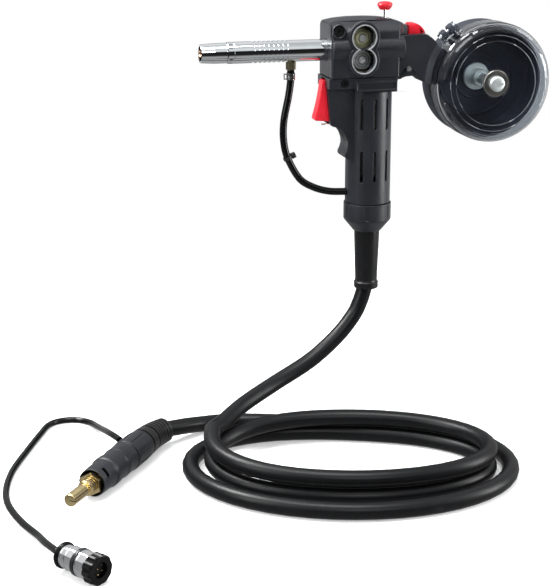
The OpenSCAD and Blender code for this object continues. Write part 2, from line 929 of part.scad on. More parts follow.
module trigger() {
    color(red)
        difference() {
            union() {
                plate_y(-trigger_y, trigger_y)
                    polygon([
                        [-48.2, 61.6], [-49.5, 52], [-51.5, 41], [-54, 31], [-55.5, 26], [-55.5, 24.4],
                        [-54.6, 23.2], [-47, 22.6], [-39.6, 22.2], [-38.6, 26], [-36.6, 40], [-34.6, 54],
                        [-34.4, 58.4], [-35.6, 61], [-38, 62.2]
                    ]);
            }
            pin_y([trigger_x, trigger_z], pin_r + run_fit, -10, 10);
            // hollow back with a middle rib
            for (s = [-1, 1])
                box(-46, -30, s > 0 ? 1.2 : -4.4, s > 0 ? 4.4 : -1.2, 26, 50);
        }
}

// Wire spring below the trigger: a leg from the block ending in a loop
module trigger_spring() {
    loop_r = 2.6;
    p = concat(
        [for (k = [0 : 12]) [-46.4 + loop_r * cos(30 * k + 20), loop_r * sin(30 * k + 20), 18.6 + 0.04 * k]],
        [[-41.6, 0.6, 18.9], [-38, 0.4, 19], [-34.4, 0.2, 18.6], [-31.3, 0, 18]]
    );
    color(bright)
        sweep(p, 0.45, 6, [0, 0, 1], p[1] - p[0], [1, 0, -0.2]);
}

module micro_switches() {
    color([0.1, 0.1, 0.1]) {
        union() {
            box(-29.2, -19.8, -3.3, 3.3, 23.8, 44.4);
            box(-30.2, -29, -1.2, 1.2, 28, 30.4);
        }
        union() {
            box(37, 49, -3.2, 3.2, 92.7, 96.6);
            box(39, 41.4, -1.2, 1.2, 96.5, 97.1);
        }
    }
}

// Pins of the trigger, pressure arm, inch button and cover hinge
module pivot_pins() {
    color(bright) {
        pin_y([trigger_x, trigger_z], pin_r, -10.4, 10.4);
        pin_y([arm_x, arm_z], pin_r, arm_y0 - 1.2, 16.8);
        pin_y([inch_x, inch_z], inch_pin_r, -9.4, 9.4);
        at_hinge()
            translate([-10.4, 0, 0])
                rotate([0, 90, 0])
                    cylinder(r = hinge_pin_r, h = 20.8);
    }
}

// Screwed collar below the grip with six grip panels
module collar() {
    color(plastic)
        difference() {
            rotate_extrude()
                polygon([
                    [spigot_r + 0.2, collar_z1], [collar_r - 0.4, collar_z1], [collar_r, collar_z1 - 0.4],
                    [collar_r, -75.4], [22.6, -76.6], [13.8, -87.4], [boot_hole_r, -87.4],
                    [boot_hole_r, -83], [15.5, -83], [19, -77.5], [spigot_r + 0.2, -74]
                ]);
            for (k = [0 : 5])
                rotate([0, 0, 60 * k + 12])
                    box(collar_r - 0.7, collar_r + 1, -1.4, 1.4, -74.4, -61);
        }
}

module cable_boot() {
    color(rubber)
        rotate_extrude()
            polygon([
                [boot_bore_r, -80], [15.2, -80], [15.2, -82.9], [12.6, -82.9], [12.5, -88],
                [10.85, -138], [11.2, -139.4], [12, -140.4], [12, -145.6], [11.4, -146.4],
                [boot_bore_r + 2.1, -146.4], [boot_bore_r + 0.7, -137.5], [boot_bore_r, -127]
            ]);
}

// ---------------------------------------------------------------- power cable

function coil_grow(s) = step01((s - 1.7) / 0.3);
function coil_height(s) =
    s < 0.2 ? 1 + 0.5 * pow(1 - s / 0.2, 2) : 1 - step01((s - 0.8) / 0.35);
function coil_at(s) =
    let(
        a = coil_a[0] + coil_a[1] * coil_grow(s),
        b = coil_b[0] + coil_b[1] * coil_grow(s),
        q = coil_c + a * cos(180 + 360 * s) * coil_u + b * sin(180 + 360 * s) * coil_v
    )
    [q[0], q[1], coil_low_z + coil_rise * coil_height(s)];
function coil_dir(s) = unit(coil_at(s + 0.004) - coil_at(s - 0.004));

coil_n = coil_loops * coil_rings;
coil_in = coil_at(0) - cable_d * coil_dir(0);
coil_out = coil_at(coil_loops) + cable_d * coil_dir(coil_loops);
coil_path = concat([coil_in], [for (i = [0 : coil_n]) coil_at(i / coil_rings)], [coil_out]);

module cable_coil() {
    color(rubber)
        sweep(coil_path, cable_r, 6, [0, 0, 1], coil_dir(0), coil_dir(coil_loops));
}

module cable_drop() {
    color(rubber)
        sweep(spline(concat(drop_route, [coil_in]), 2), cable_r, 10, [0.45, -0.89, 0], [0, 0, -1], coil_dir(0));
}

// Point and backward direction on the bend line of the plug boot, w from 0 to 1
plug_dir = [cos(plug_a), sin(plug_a), 0];
bend_r = boot_arc / (plug_bend * PI / 180);
bend_start = plug_at - boot_back * plug_dir;
bend_c = bend_start + bend_r * [-sin(plug_a), cos(plug_a), 0];
function bend_at(w) =
    let(a = plug_a - 90 - plug_bend * w)
    bend_c + bend_r * [cos(a), sin(a), 0];
function bend_a(w) = plug_a - plug_bend * w;

module cable_tail() {
    last = [cos(bend_a(1)), sin(bend_a(1)), 0];
    tail_path = spline(concat([coil_out], tail_route, [bend_at(1)]), 2);
    color(rubber)
        sweep(tail_path, cable_r, 10, [0, 0, 1], coil_dir(coil_loops), last);
}

// ---------------------------------------------------------------- spool housing

module neck_outline() {
    polygon([
        [right_x + seat_fit, 61.6], [26.6, 61.3], [29, 62.8], [32, 63.7], [38.9, 64.2], [42.4, 63.6],
        [45.2, 62.2], [52, 57], [68, 50], [80, 70], [74, 88], [66, 91], [62, 96], [57, 100.4],
        [53, 102.6], [48.7, 103.6], [30.8, 103], [right_x + seat_fit, 102.4]
    ]);
}

// Room the clear cover sweeps as it opens, grown by g
module cover_swing(g) {
    translate([spool_x, 0, spool_z])
        rotate([90, 0, 0]) {
            cylinder(r = cover_r + g, h = 40);
            translate([0, 0, 8.2])
                cylinder(r1 = cover_r + g, r2 = cover_r + g + 11, h = 8);
        }
}

// Hollow neck that carries the spool housing, with the button and switch seats
module spool_arm() {
    color(plastic)
        difference() {
            union() {
                difference() {
                    plate_y(-neck_y, neck_y)
                        neck_outline();
                    plate_y(-12.4, 12.4)
                        polygon([[20, 66.8], [46, 66.8], [58, 60], [90, 60], [90, 80], [64, 88], [59, 96],
                            [54, 99.6], [48, 100.8], [20, 100.2]]);
                }
                intersection() {
                    plate_y(-neck_y, -1)
                        neck_outline();
                    cover_swing(3.4);
                }
                box(36.6, 50, -12.8, 12.8, 91.4, 92.6);
                for (s = [-1, 1])
                    box(48, 55, s > 0 ? 7 : -10.4, s > 0 ? 10.4 : -7, 98.6, 102);
            }
            cover_swing(1);
            translate([spool_x, 40, spool_z])
                rotate([90, 0, 0])
                    cylinder(r = base_r + seat_fit, h = 41);
            box(36, 54.6, -7, 7, 97.4, 110);
            pin_y([inch_x, inch_z], inch_pin_r + seat_fit, -9.5, 9.5);
            for (s = [-1, 1])
                translate([neck_screw[0], s * 16, neck_screw[1]])
                    rotate([s * 90, 0, 0]) {
                        cylinder(r = 1.6, h = 6);
                        cylinder(r = 2.65, h = 2.4);
                    }
        }
}

module inch_button() {
    color(red)
        difference() {
            intersection() {
                plate_y(-inch_y, inch_y)
                    polygon([
                        [36.8, 99.2], [36.8, 113], [37.6, 113.7], [42, 113.5], [45.8, 112.4], [49.4, 110],
                        [52, 107.2], [53.4, 104.6], [53.8, 102], [53.6, 99.2]
                    ]);
                translate([30, 0, 103.2])
                    rotate([0, 90, 0])
                        cylinder(r = 10.5, h = 30);
            }
            pin_y([inch_x, inch_z], inch_pin_r + run_fit, -10, 10);
        }
}

module ribbed_pad() {
    color([0.3, 0.31, 0.32])
        difference() {
            box(30.6, 35, -7, 7, 103.3, 112);
            for (k = [0 : 3])
                box(34.2, 36, -8, 8, 104.8 + 1.8 * k, 105.6 + 1.8 * k);
        }
}

module at_hinge() {
    translate([spool_x + hinge_r * cos(hinge_a), hinge_y, spool_z + hinge_r * sin(hinge_a)])
        rotate([0, 90 - hinge_a, 0])
            children();
}

// Plate across the hinge line: outline of [y, z] points, z outwards, from x0 to x1
module hinge_plate(x0, x1) {
    at_hinge()
        translate([x0, 0, 0])
            rotate([90, 0, 90])
                linear_extrude(x1 - x0)
                    children();
}

module spool_base() {
    inner = lip_r - 1.8;
    color(plastic)
        difference() {
            union() {
                turned_y([spool_x, spool_z], [
                    [0, base_depth], [base_r - 6, base_depth], [base_r - 2.6, base_depth - 1],
                    [base_r - 0.8, base_depth - 3], [base_r, base_depth - 6], [base_r, 0.4],
                    [lip_r, 0.4], [lip_r, -1.3], [lip_r - 0.7, -2.4], [inner, -2.4], [inner, base_depth - 7],
                    [inner - 3, base_depth - wall], [0, base_depth - wall]
                ]);
                for (s = [-1, 1]) {
                    hinge_plate(s * knuckle_x - knuckle_l / 2, s * knuckle_x + knuckle_l / 2)
                        polygon([[0, -4], [5.6, -6.4], [5.6, -9.4], [13, -9.4], [13, -4], [4, 3.4], [0, knuckle_r]]);
                    at_hinge()
                        translate([s * knuckle_x - knuckle_l / 2, 0, 0])
                            rotate([0, 90, 0])
                                cylinder(r = knuckle_r, h = knuckle_l);
                }
                for (r = [22, 38])
                    translate([spool_x, base_depth - wall + 0.1, spool_z])
                        rotate([90, 0, 0])
                            tube(r + 0.8, r - 0.8, 1.3);
            }
            at_hinge()
                translate([-12, 0, 0])
                    rotate([0, 90, 0])
                        cylinder(r = hinge_pin_r + seat_fit, h = 24);
            // spindle stud hole and wire outlet
            pin_y([spool_x, spool_z], hub_thread_r + seat_fit, 20, 40);
            translate([50, 8, 84])
                rotate([0, 90, 0])
                    cylinder(r = 3.5, h = 40);
        }
}

module spool_cover() {
    r = cover_r;
    d = cover_depth;
    t = 2;
    color(clear, 0.35)
        difference() {
            union() {
                turned_y([spool_x, spool_z], concat(
                    [[r - t, 0], [r, 0]],
                    [for (a = [0 : 15 : 90]) [r - 9 + 9 * cos(a), -d + 9 - 9 * sin(a)]],
                    [for (ring = [r - 11.6, r - 17.3]) each [[ring + 0.4, -d], [ring, -d - 0.35], [ring - 0.4, -d]]],
                    [[hub_hole_r, -d], [hub_hole_r, -d + t]],
                    [for (a = [90 : -15 : 0]) [r - 9 + 7 * cos(a), -d + 9 - 7 * sin(a)]]
                ));
                for (s = [-1, 1]) {
                    x0 = s > 0 ? knuckle_x + knuckle_l / 2 + free_gap : -knuckle_x - knuckle_l / 2 - free_gap - 2.4;
                    hinge_plate(x0, x0 + 2.4)
                        polygon([[-9, -8.6], [3.4, -8.6], [3.4, 0], [0, 3.6], [-3, 2.6]]);
                    at_hinge()
                        translate([x0, 0, 0])
                            rotate([0, 90, 0])
                                cylinder(r = 3.6, h = 2.4);
                }
            }
            at_hinge()
                translate([-12, 0, 0])
                    rotate([0, 90, 0])
                        cylinder(r = hinge_pin_r + run_fit, h = 24);
        }
}

module spindle() {
    color(bright)
        turned_y([spool_x, spool_z], [
            [0, base_depth - 0.2], [hub_thread_r, base_depth - 0.2], [hub_thread_r, flange_y],
            [13.5, flange_y], [13.5, flange_y - 2], [13.1, flange_y - 2.4], [8.25, flange_y - 2.4],
            [8.25, 12.6], [7.8, 12], [5.1, 12],
            [5.1, -24.6], [4.8, -24.9], [hub_thread_r, -24.9], [hub_thread_r, -30.6], [0, -30.6]
        ]);
}

module hub_washer() {
    color(bright)
        turned_y([spool_x, spool_z], [
            [hub_thread_r + run_fit, -25.2], [12.5, -25.2], [12.9, -25.6], [12.9, -27.2], [12.5, -27.6],
            [hub_thread_r + run_fit, -27.6]
        ]);
}

module hub_nut() {
    color([0.45, 0.48, 0.48])
        difference() {
            turned_y([spool_x, spool_z], [
                [hub_thread_r + run_fit, -27.8], [7, -27.8], [7.5, -28.3], [7.5, -30.4], [7, -31.5], [6, -32.2],
                [4, -32.5], [0, -32.5], [0, -31], [hub_thread_r + run_fit, -31]
            ]);
            translate([spool_x, -32, spool_z])
                box(-5.4, 5.4, -1, 0.4, -0.7, 0.7);
        }
}

// ---------------------------------------------------------------- plug

module at_plug(t = 0) {
    translate(plug_at)
        rotate([0, 90, plug_a])
            translate([0, 0, t])
                children();
}

module turned_plug(pts) {
    at_plug()
        rotate_extrude()
            polygon(pts);
}

// Ribbed bend relief: a collar, then a bent core with six ribs
module plug_boot() {
    color(rubber)
        union() {
            turned_plug([
                [0, -boot_back - 0.5], [10.4, -boot_back - 0.5], [12.4, -boot_back],
                [13.6, -boot_back + 1.2], [14.1, 5.9], [0, 5.9]
            ]);
            translate(bend_c)
                rotate([0, 0, plug_a - 90 - plug_bend])
                    rotate_extrude(angle = plug_bend)
                        translate([bend_r, 0])
                            circle(r = 9.6);
            for (k = [0 : 5])
                translate(bend_at((k + 0.7) / 6.4))
                    rotate([0, 90, bend_a((k + 0.7) / 6.4)])
                        translate([0, 0, -1.4])
                            cylinder(r = 13.3 - 0.26 * k, h = 2.8);
        }
}

module plug_body() {
    color(plastic)
        difference() {
            union() {
                turned_plug([
                    [8.4, 6], [13, 6], [13, 7.6], [14.3, 8.2], [14.9, 18], [14.9, 40.4],
                    [13.3, 41], [13.3, 42.4], [14.5, 43], [14.1, 50], [14.5, 60], [8.4, 60]
                ]);
                translate(plug_at + 29 * plug_dir + [-6.6, 4.6, 5.2])
                    rotate([0, -75, 100])
                        cylinder(r = 4.4, h = 10);
            }
            for (k = [0 : 7])
                at_plug(13)
                    rotate([0, 0, 45 * k + 22])
                        translate([14.1, -0.9, 0])
                            cube([2, 1.8, 24]);
            at_plug()
                cylinder(r = 8.39, h = 90);
        }
}

module plug_sleeve() {
    color(plastic)
        difference() {
            turned_plug([
                [8.4, 60.2], [14.4, 60.2], [13.8, 64], [13.8, 72.6], [14.5, 73.4], [14.6, 82],
                [13.4, 84], [13.2, 98], [12.8, 107.4], [12.4, 108], [11.6, 107.6], [11.6, 88],
                [8.4, 88]
            ]);
            at_plug(98.5)
                rotate([0, 0, 130])
                    union() {
                        for (e = [-3, 3])
                            rotate([0, 90, 0])
                                translate([0, e, 0])
                                    cylinder(r = 2.2, h = 20);
                        box(0, 20, -3, 3, -2.2, 2.2);
                    }
        }
}

// Power pin with its hexagon, seal neck and slotted end
module brass_pin() {
    color(brass)
        difference() {
            union() {
                turned_plug([
                    [0, 62], [8.3, 62], [8.3, 97], [6.5, 97.2], [6.5, 112.8], [5.2, 113], [5.2, 114.8],
                    [6.6, 115], [6.6, 116.2], [5.2, 116.4], [5.2, 118.2], [7.2, 118.4], [7.2, 120.6],
                    [6, 121.4], [4.7, 121.6], [4.7, 125], [power_pin_r, 125.8], [power_pin_r, 148.4],
                    [power_pin_r - 0.6, 149.2], [0, 149.2]
                ]);
                at_plug(97)
                    cylinder(r = 18.5 / 2 / cos(30), h = 15, $fn = 6);
            }
            at_plug(60)
                cylinder(r = 1.5, h = 70);
            at_plug(126)
                translate([-0.4, 0, 0])
                    cube([0.8, 12, 30]);
        }
}

module at_conn(u = 0) {
    translate(conn_at)
        rotate([0, 90, conn_a])
            translate([0, 0, u])
                children();
}

module turned_conn(pts) {
    at_conn()
        rotate_extrude()
            polygon(pts);
}

// Seal rings of the power pin and the grip ring of the connector
module o_rings() {
    color(rubber) {
        for (t = [113.9, 117.3])
            at_plug(t)
                rotate_extrude()
                    translate([5.95, 0])
                        circle(r = 0.7, $fn = 24);
        turned_conn([[10.05, 29.1], [11.3, 29.1], [11.7, 29.6], [11.7, 32.8], [11.3, 33.3], [10.05, 33.3]]);
    }
}

// ---------------------------------------------------------------- control lead

lead_in = plug_at + 29 * plug_dir + [-8.3, 14.2, 7.8];
lead_out = conn_at + 3 * [cos(conn_a), sin(conn_a), 0];

module control_lead() {
    p = spline(concat([lead_in], lead_route, [lead_out]), 3);
    color(rubber)
        sweep(p, lead_r, 8, [0, 0, 1], [-0.245, 0.969, -0.027], [cos(conn_a), sin(conn_a), 0]);
}

module backshell() {
    color(rubber)
        turned_conn([
            [0, 3], [3.9, 3], [4.6, 3.8], [5.4, 7.6], [8.6, 8.2], [10.2, 9], [11, 10.2], [11, 11.8],
            [10.4, 12.8], [9.6, 13], [0, 13]
        ]);
}

// Flats round a turned section of the connector, from u0 to u1 at the distance d
module conn_flats(d, u0, u1) {
    for (k = [0 : conn_lobes - 1])
        at_conn(u0)
            rotate([0, 0, conn_phase + 360 * (k + 0.5) / conn_lobes])
                translate([d, -6, 0])
                    cube([4, 12, u1 - u0]);
}

module connector_body() {
    color(bright)
        difference() {
            turned_conn([
                [0, 13.1], [9, 13.1], [9.5, 13.8], [9.5, 19.4], [10.5, 20.2], [10.5, 28.9], [10, 28.9],
                [10, 33.5], [10.9, 33.5], [11.4, 34], [11.4, 44], [9.5, 44], [9.5, 50.4], [8.25, 50.6],
                [8.25, 45], [0, 45]
            ]);
            conn_flats(9.15, 14.6, 18.6);
            conn_flats(10.1, 21, 28);
            conn_flats(10.95, 35, 43);
        }
}

// Coupling ring with ten scallops that turns on the connector body
module coupling_ring() {
    color([0.14, 0.14, 0.16])
        difference() {
            turned_conn([
                [9.5 + run_fit, 44.3], [12.3, 44.3], [12.9, 45], [12.9, 52.2], [12.2, 53.2],
                [11.6, 53.5], [7, 53.5], [6.8, 53.2], [6.8, 50.9], [9.5 + run_fit, 50.9]
            ]);
            for (k = [0 : conn_lobes - 1])
                at_conn(44)
                    rotate([0, 0, conn_phase + 360 * (k + 0.5) / conn_lobes])
                        translate([16.9, 0, 0])
                            cylinder(r = 5.4, h = 20);
        }
}

module connector_insert() {
    color([0.1, 0.1, 0.1])
        difference() {
            at_conn(45.05)
                cylinder(r = 8.2, h = 5);
            for (k = [0 : 6])
                at_conn(47)
                    rotate([0, 0, 60 * k])
                        translate([k == 6 ? 0 : 5, 0, 0])
                            cylinder(r = 1, h = 6);
        }
}

// ---------------------------------------------------------------- coil spacing

// Least gap between stretches of the coil that are half a loop or more apart
coil_gap = min([for (i = [0 : coil_n], j = [i + coil_rings / 2 : coil_n])
    norm(coil_at(i / coil_rings) - coil_at(j / coil_rings))]) - cable_d;
echo(coil_gap = coil_gap);

nozzle();
nozzle_ring();
contact_tip();
gas_diffuser();
barrel_tube();
conductor_tube();
barrel_sleeve();
gas_fitting();
hose_clamp();
gas_hose();
hose_tie();
drive_housing();
side_cover();
window();
window_rim();
case_screws();
wire_guides();
drive_roll();
drive_roll_screw();
drive_shaft();
shaft_bushes();
bevel_gear();
pressure_arm();
pressure_roll();
tension_rod();
tension_knob();
top_bush();
tension_spring();
handle_near();
handle_far();
motor();
gear_head();
bevel_pinion();
trigger();
trigger_spring();
micro_switches();
pivot_pins();
collar();
cable_boot();
cable_drop();
cable_coil();
cable_tail();
spool_arm();
inch_button();
ribbed_pad();
spool_base();
spool_cover();
spindle();
hub_washer();
hub_nut();
plug_boot();
plug_body();
plug_sleeve();
brass_pin();
o_rings();
control_lead();
backshell();
connector_body();
coupling_ring();
connector_insert();
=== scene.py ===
import bpy
import bmesh
import math
from mathutils import Matrix, Vector


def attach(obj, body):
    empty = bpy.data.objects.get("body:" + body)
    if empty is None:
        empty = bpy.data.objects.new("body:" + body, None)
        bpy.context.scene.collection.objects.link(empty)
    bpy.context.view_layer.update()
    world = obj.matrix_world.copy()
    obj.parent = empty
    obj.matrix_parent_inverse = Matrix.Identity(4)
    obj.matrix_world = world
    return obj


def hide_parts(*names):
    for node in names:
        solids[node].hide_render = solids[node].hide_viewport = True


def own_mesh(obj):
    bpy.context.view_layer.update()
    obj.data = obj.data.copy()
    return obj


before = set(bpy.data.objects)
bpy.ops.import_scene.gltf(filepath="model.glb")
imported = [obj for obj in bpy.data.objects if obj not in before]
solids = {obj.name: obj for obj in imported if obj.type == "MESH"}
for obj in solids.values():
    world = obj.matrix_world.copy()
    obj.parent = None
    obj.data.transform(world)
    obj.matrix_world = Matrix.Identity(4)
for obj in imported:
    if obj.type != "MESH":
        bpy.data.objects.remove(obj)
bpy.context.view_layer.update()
scene = bpy.context.scene

# --- Camera
# A long lens stands a little above the gun, on the side of the clear spool cover,
# and looks down on the whole tool with its coil of cable.
CAMERA_AT = (-0.4709, -1.4602, 0.2862)
CAMERA_DOWN = 16
CAMERA_YAW = -14.5
lens = bpy.data.cameras.new("camera")
lens.sensor_width = 36
lens.lens = 98.3
lens.clip_start = 0.05
lens.clip_end = 60
camera = bpy.data.objects.new("camera", lens)
camera.location = CAMERA_AT
camera.rotation_euler = (math.radians(90 - CAMERA_DOWN), 0, math.radians(CAMERA_YAW))
scene.collection.objects.link(camera)
scene.camera = camera
scene.view_settings.view_transform = "Standard"

# --- Floor and studio light
# White sheet under the cable, and soft lamps above, beside and behind the gun. The sky
# that the metal mirrors is dark up to a little over eye height and bright above it, and
# a black card stands behind the gun.
FLOOR_Z = -0.278
FLOOR_RADIUS = 7.0
REARWARD = (0.6, 0.8, 0)


def new_node(tree, kind, at=(0, 0), **values):
    """Adds a node. Each value is a setting of the node, or an input with _ for its spaces."""
    made = tree.nodes.new(kind)
    made.location = at
    for name, value in values.items():
        if hasattr(made, name):
            setattr(made, name, value)
        else:
            made.inputs[name.replace("_", " ")].default_value = value
    return made


def join(tree, source, output, target, socket):
    tree.links.new(source.outputs[output], target.inputs[socket])


floor_mesh = bpy.data.meshes.new("floor")
sheet = bmesh.new()
bmesh.ops.create_circle(sheet, cap_ends=True, segments=96, radius=FLOOR_RADIUS)
bmesh.ops.translate(sheet, verts=sheet.verts, vec=(0, 0, FLOOR_Z))
sheet.to_mesh(floor_mesh)
sheet.free()
floor = bpy.data.objects.new("floor", floor_mesh)
scene.collection.objects.link(floor)
floor_white = bpy.data.materials.new("floor_white")
floor_white.use_nodes = True
tree = floor_white.node_tree
tree.nodes.clear()
out = new_node(tree, "ShaderNodeOutputMaterial", (600, 0))
# To the camera the sheet is matte white with a little glow, and plain white far away.
matte = new_node(tree, "ShaderNodeBsdfDiffuse", (0, 0), Color=(0.84, 0.84, 0.84, 1))
glow = new_node(tree, "ShaderNodeEmission", (0, -150), Color=(1, 1, 1, 1), Strength=0.34)
both = new_node(tree, "ShaderNodeAddShader", (200, 0))
sheet_end = new_node(tree, "ShaderNodeEmission", (200, -400), Color=(1, 1, 1, 1), Strength=1.0)
ray = new_node(tree, "ShaderNodeLightPath", (-400, 300))
seen = new_node(tree, "ShaderNodeMath", (-150, 300), operation="MAXIMUM")
pick = new_node(tree, "ShaderNodeMixShader", (300, 100))
fade = new_node(tree, "ShaderNodeMixShader", (400, 100))
far = new_node(tree, "ShaderNodeMixShader", (500, 0))
# What the gun mirrors of the sheet: grey that fades to the front, and brighter behind.
bounced = new_node(tree, "ShaderNodeEmission", (200, -250), Color=(1, 1, 1, 1))
place = new_node(tree, "ShaderNodeTexCoord", (-900, -200))
rearward = new_node(tree, "ShaderNodeVectorMath", (-700, -400), operation="DOT_PRODUCT")
rearward.inputs[1].default_value = REARWARD
reach = new_node(tree, "ShaderNodeVectorMath", (-700, -200), operation="LENGTH")
front_end = new_node(tree, "ShaderNodeMapRange", (-500, -200), interpolation_type="SMOOTHSTEP",
                     From_Min=0.45, From_Max=1.05, To_Min=0.42, To_Max=0.02)
rear = new_node(tree, "ShaderNodeMapRange", (-500, -450), interpolation_type="SMOOTHSTEP",
                From_Min=0.1, From_Max=0.55)
horizon = new_node(tree, "ShaderNodeMapRange", (-500, 50), interpolation_type="SMOOTHSTEP",
                   From_Min=0.6, From_Max=1.1)
rear_end = new_node(tree, "ShaderNodeMapRange", (-300, -450), To_Min=0.62, To_Max=0.95)
shine = new_node(tree, "ShaderNodeMix", (0, -300))
white_end = new_node(tree, "ShaderNodeMath", (-100, 50), operation="MULTIPLY")
join(tree, ray, "Is Camera Ray", seen, 0)
join(tree, ray, "Is Transmission Ray", seen, 1)
join(tree, matte, 0, both, 0)
join(tree, glow, 0, both, 1)
join(tree, seen, 0, pick, 0)
join(tree, matte, 0, pick, 1)
join(tree, both, 0, pick, 2)
join(tree, place, "Object", reach, 0)
join(tree, place, "Object", rearward, 0)
join(tree, reach, "Value", front_end, "Value")
join(tree, reach, "Value", horizon, "Value")
join(tree, rearward, "Value", rear, "Value")
join(tree, horizon, 0, rear_end, "Value")
join(tree, rear, 0, shine, 0)
join(tree, front_end, 0, shine, 2)
join(tree, rear_end, 0, shine, 3)
join(tree, shine, 0, bounced, "Strength")
join(tree, horizon, 0, white_end, 0)
join(tree, seen, 0, white_end, 1)
join(tree, white_end, 0, fade, 0)
join(tree, pick, 0, fade, 1)
join(tree, sheet_end, 0, fade, 2)
join(tree, ray, "Is Glossy Ray", far, 0)
join(tree, fade, 0, far, 1)
join(tree, bounced, 0, far, 2)
join(tree, far, 0, out, "Surface")
floor_mesh.materials.append(floor_white)

sky = bpy.data.worlds.new("studio")
scene.world = sky
sky.use_nodes = True
tree = sky.node_tree
tree.nodes.clear()
out = new_node(tree, "ShaderNodeOutputWorld", (800, 0))
soft = new_node(tree, "ShaderNodeBackground", (200, 0), Color=(0.96, 0.98, 1, 1), Strength=0.5)
white = new_node(tree, "ShaderNodeBackground", (200, -150), Color=(1, 1, 1, 1), Strength=1.0)
shine = new_node(tree, "ShaderNodeBackground", (200, -300), Strength=1.0)
ray = new_node(tree, "ShaderNodeLightPath", (-200, 300))
heading = new_node(tree, "ShaderNodeTexCoord", (-600, -300))
parts = new_node(tree, "ShaderNodeSeparateXYZ", (-400, -300))
bands = new_node(tree, "ShaderNodeValToRGB", (-100, -300))
lift = new_node(tree, "ShaderNodeMapRange", (-250, -300), From_Min=-1)
# Grey of the mirrored sky by height: 0 is straight down, 0.5 eye height, 1 straight up.
steps = [(0.0, 0.015), (0.66, 0.015), (0.70, 0.78), (0.80, 0.90), (0.92, 0.70), (1.0, 0.55)]
while len(bands.color_ramp.elements) < len(steps):
    bands.color_ramp.elements.new(0.5)
for stop, (at, grey) in zip(bands.color_ramp.elements, steps):
    stop.position = at
    stop.color = (grey * 0.97, grey * 0.99, grey, 1)
# Behind the gun the sky has its own grey, which grows lighter with height.
behind = new_node(tree, "ShaderNodeMapRange", (-250, -550), interpolation_type="SMOOTHSTEP",
                  From_Min=0.0, From_Max=0.4)
wrap = new_node(tree, "ShaderNodeMix", (50, -400), data_type="RGBA")
rear_sky = new_node(tree, "ShaderNodeMapRange", (-250, -800), interpolation_type="SMOOTHSTEP",
                    From_Min=0.3, From_Max=0.65, To_Min=0.42, To_Max=0.85)
seen = new_node(tree, "ShaderNodeMath", (0, 300), operation="MAXIMUM")
first = new_node(tree, "ShaderNodeMixShader", (400, 0))
last = new_node(tree, "ShaderNodeMixShader", (600, 0))
join(tree, heading, "Generated", parts, 0)
join(tree, parts, "Z", lift, "Value")
join(tree, parts, "Y", behind, "Value")
join(tree, lift, 0, bands, 0)
join(tree, parts, "Z", rear_sky, "Value")
join(tree, rear_sky, 0, wrap, 7)
join(tree, behind, 0, wrap, 0)
join(tree, bands, 0, wrap, 6)
join(tree, wrap, 2, shine, "Color")
join(tree, ray, "Is Glossy Ray", first, 0)
join(tree, soft, 0, first, 1)
join(tree, shine, 0, first, 2)
join(tree, ray, "Is Camera Ray", seen, 0)
join(tree, ray, "Is Transmission Ray", seen, 1)
join(tree, seen, 0, last, 0)
join(tree, first, 0, last, 1)
join(tree, white, 0, last, 2)
join(tree, last, 0, out, "Surface")


def soft_lamp(name, at, aim, size, watts):
    lamp = bpy.data.lights.new(name, "AREA")
    lamp.shape = "RECTANGLE"
    lamp.size, lamp.size_y = size
    lamp.energy = watts
    holder = bpy.data.objects.new(name, lamp)
    holder.location = at
    holder.rotation_euler = (Vector(aim) - Vector(at)).to_track_quat("-Z", "Y").to_euler()
    holder.visible_camera = False
    scene.collection.objects.link(holder)


soft_lamp("top_lamp", (-0.25, -0.35, 1.35), (-0.05, 0.0, -0.1), (0.85, 0.5), 17)
soft_lamp("left_lamp", (-1.35, -0.55, 0.55), (0, 0, -0.02), (0.5, 1.1), 9)
soft_lamp("right_lamp", (1.4, -0.35, 0.5), (0.02, 0, -0.02), (0.45, 1.3), 9)
soft_lamp("low_lamp", (0.89, -0.43, -0.03), (0, 0, 0), (0.20, 0.50), 4.6)
soft_lamp("coil_lamp", (-0.66, 0.20, 0.66), (-0.14, -0.16, -0.27), (0.52, 0.34), 16)
soft_lamp("front_lamp", (-0.35, -2.1, 1.1), (0, 0, 0), (0.9, 0.5), 7)


def finish_of(name, colour, roughness, metal=0.0):
    """New material with its tree and its principled shader."""
    made = bpy.data.materials.new(name)
    made.use_nodes = True
    made.diffuse_color = (*colour, 1)
    shader = made.node_tree.nodes["Principled BSDF"]
    shader.inputs["Base Color"].default_value = (*colour, 1)
    shader.inputs["Roughness"].default_value = roughness
    shader.inputs["Metallic"].default_value = metal
    return made, made.node_tree, shader


# The card is seen only in reflections, and keeps the side of the spool tray dark.
CARD_Y = 0.42
CARD_LEFT, CARD_RIGHT = -0.12, 0.30
CARD_FOOT, CARD_TOP = -0.27, 0.03
card_mesh = bpy.data.meshes.new("black_card")
card_mesh.from_pydata([(CARD_LEFT, CARD_Y, CARD_FOOT), (CARD_RIGHT, CARD_Y, CARD_FOOT),
                       (CARD_RIGHT, CARD_Y, CARD_TOP), (CARD_LEFT, CARD_Y, CARD_TOP)],
                      [], [(0, 1, 2, 3)])
card = bpy.data.objects.new("black_card", card_mesh)
scene.collection.objects.link(card)
card_mesh.materials.append(finish_of("card_black", (0.005, 0.005, 0.005), 0.9)[0])
card.visible_camera = False
card.visible_diffuse = False
card.visible_transmission = False
card.visible_shadow = False

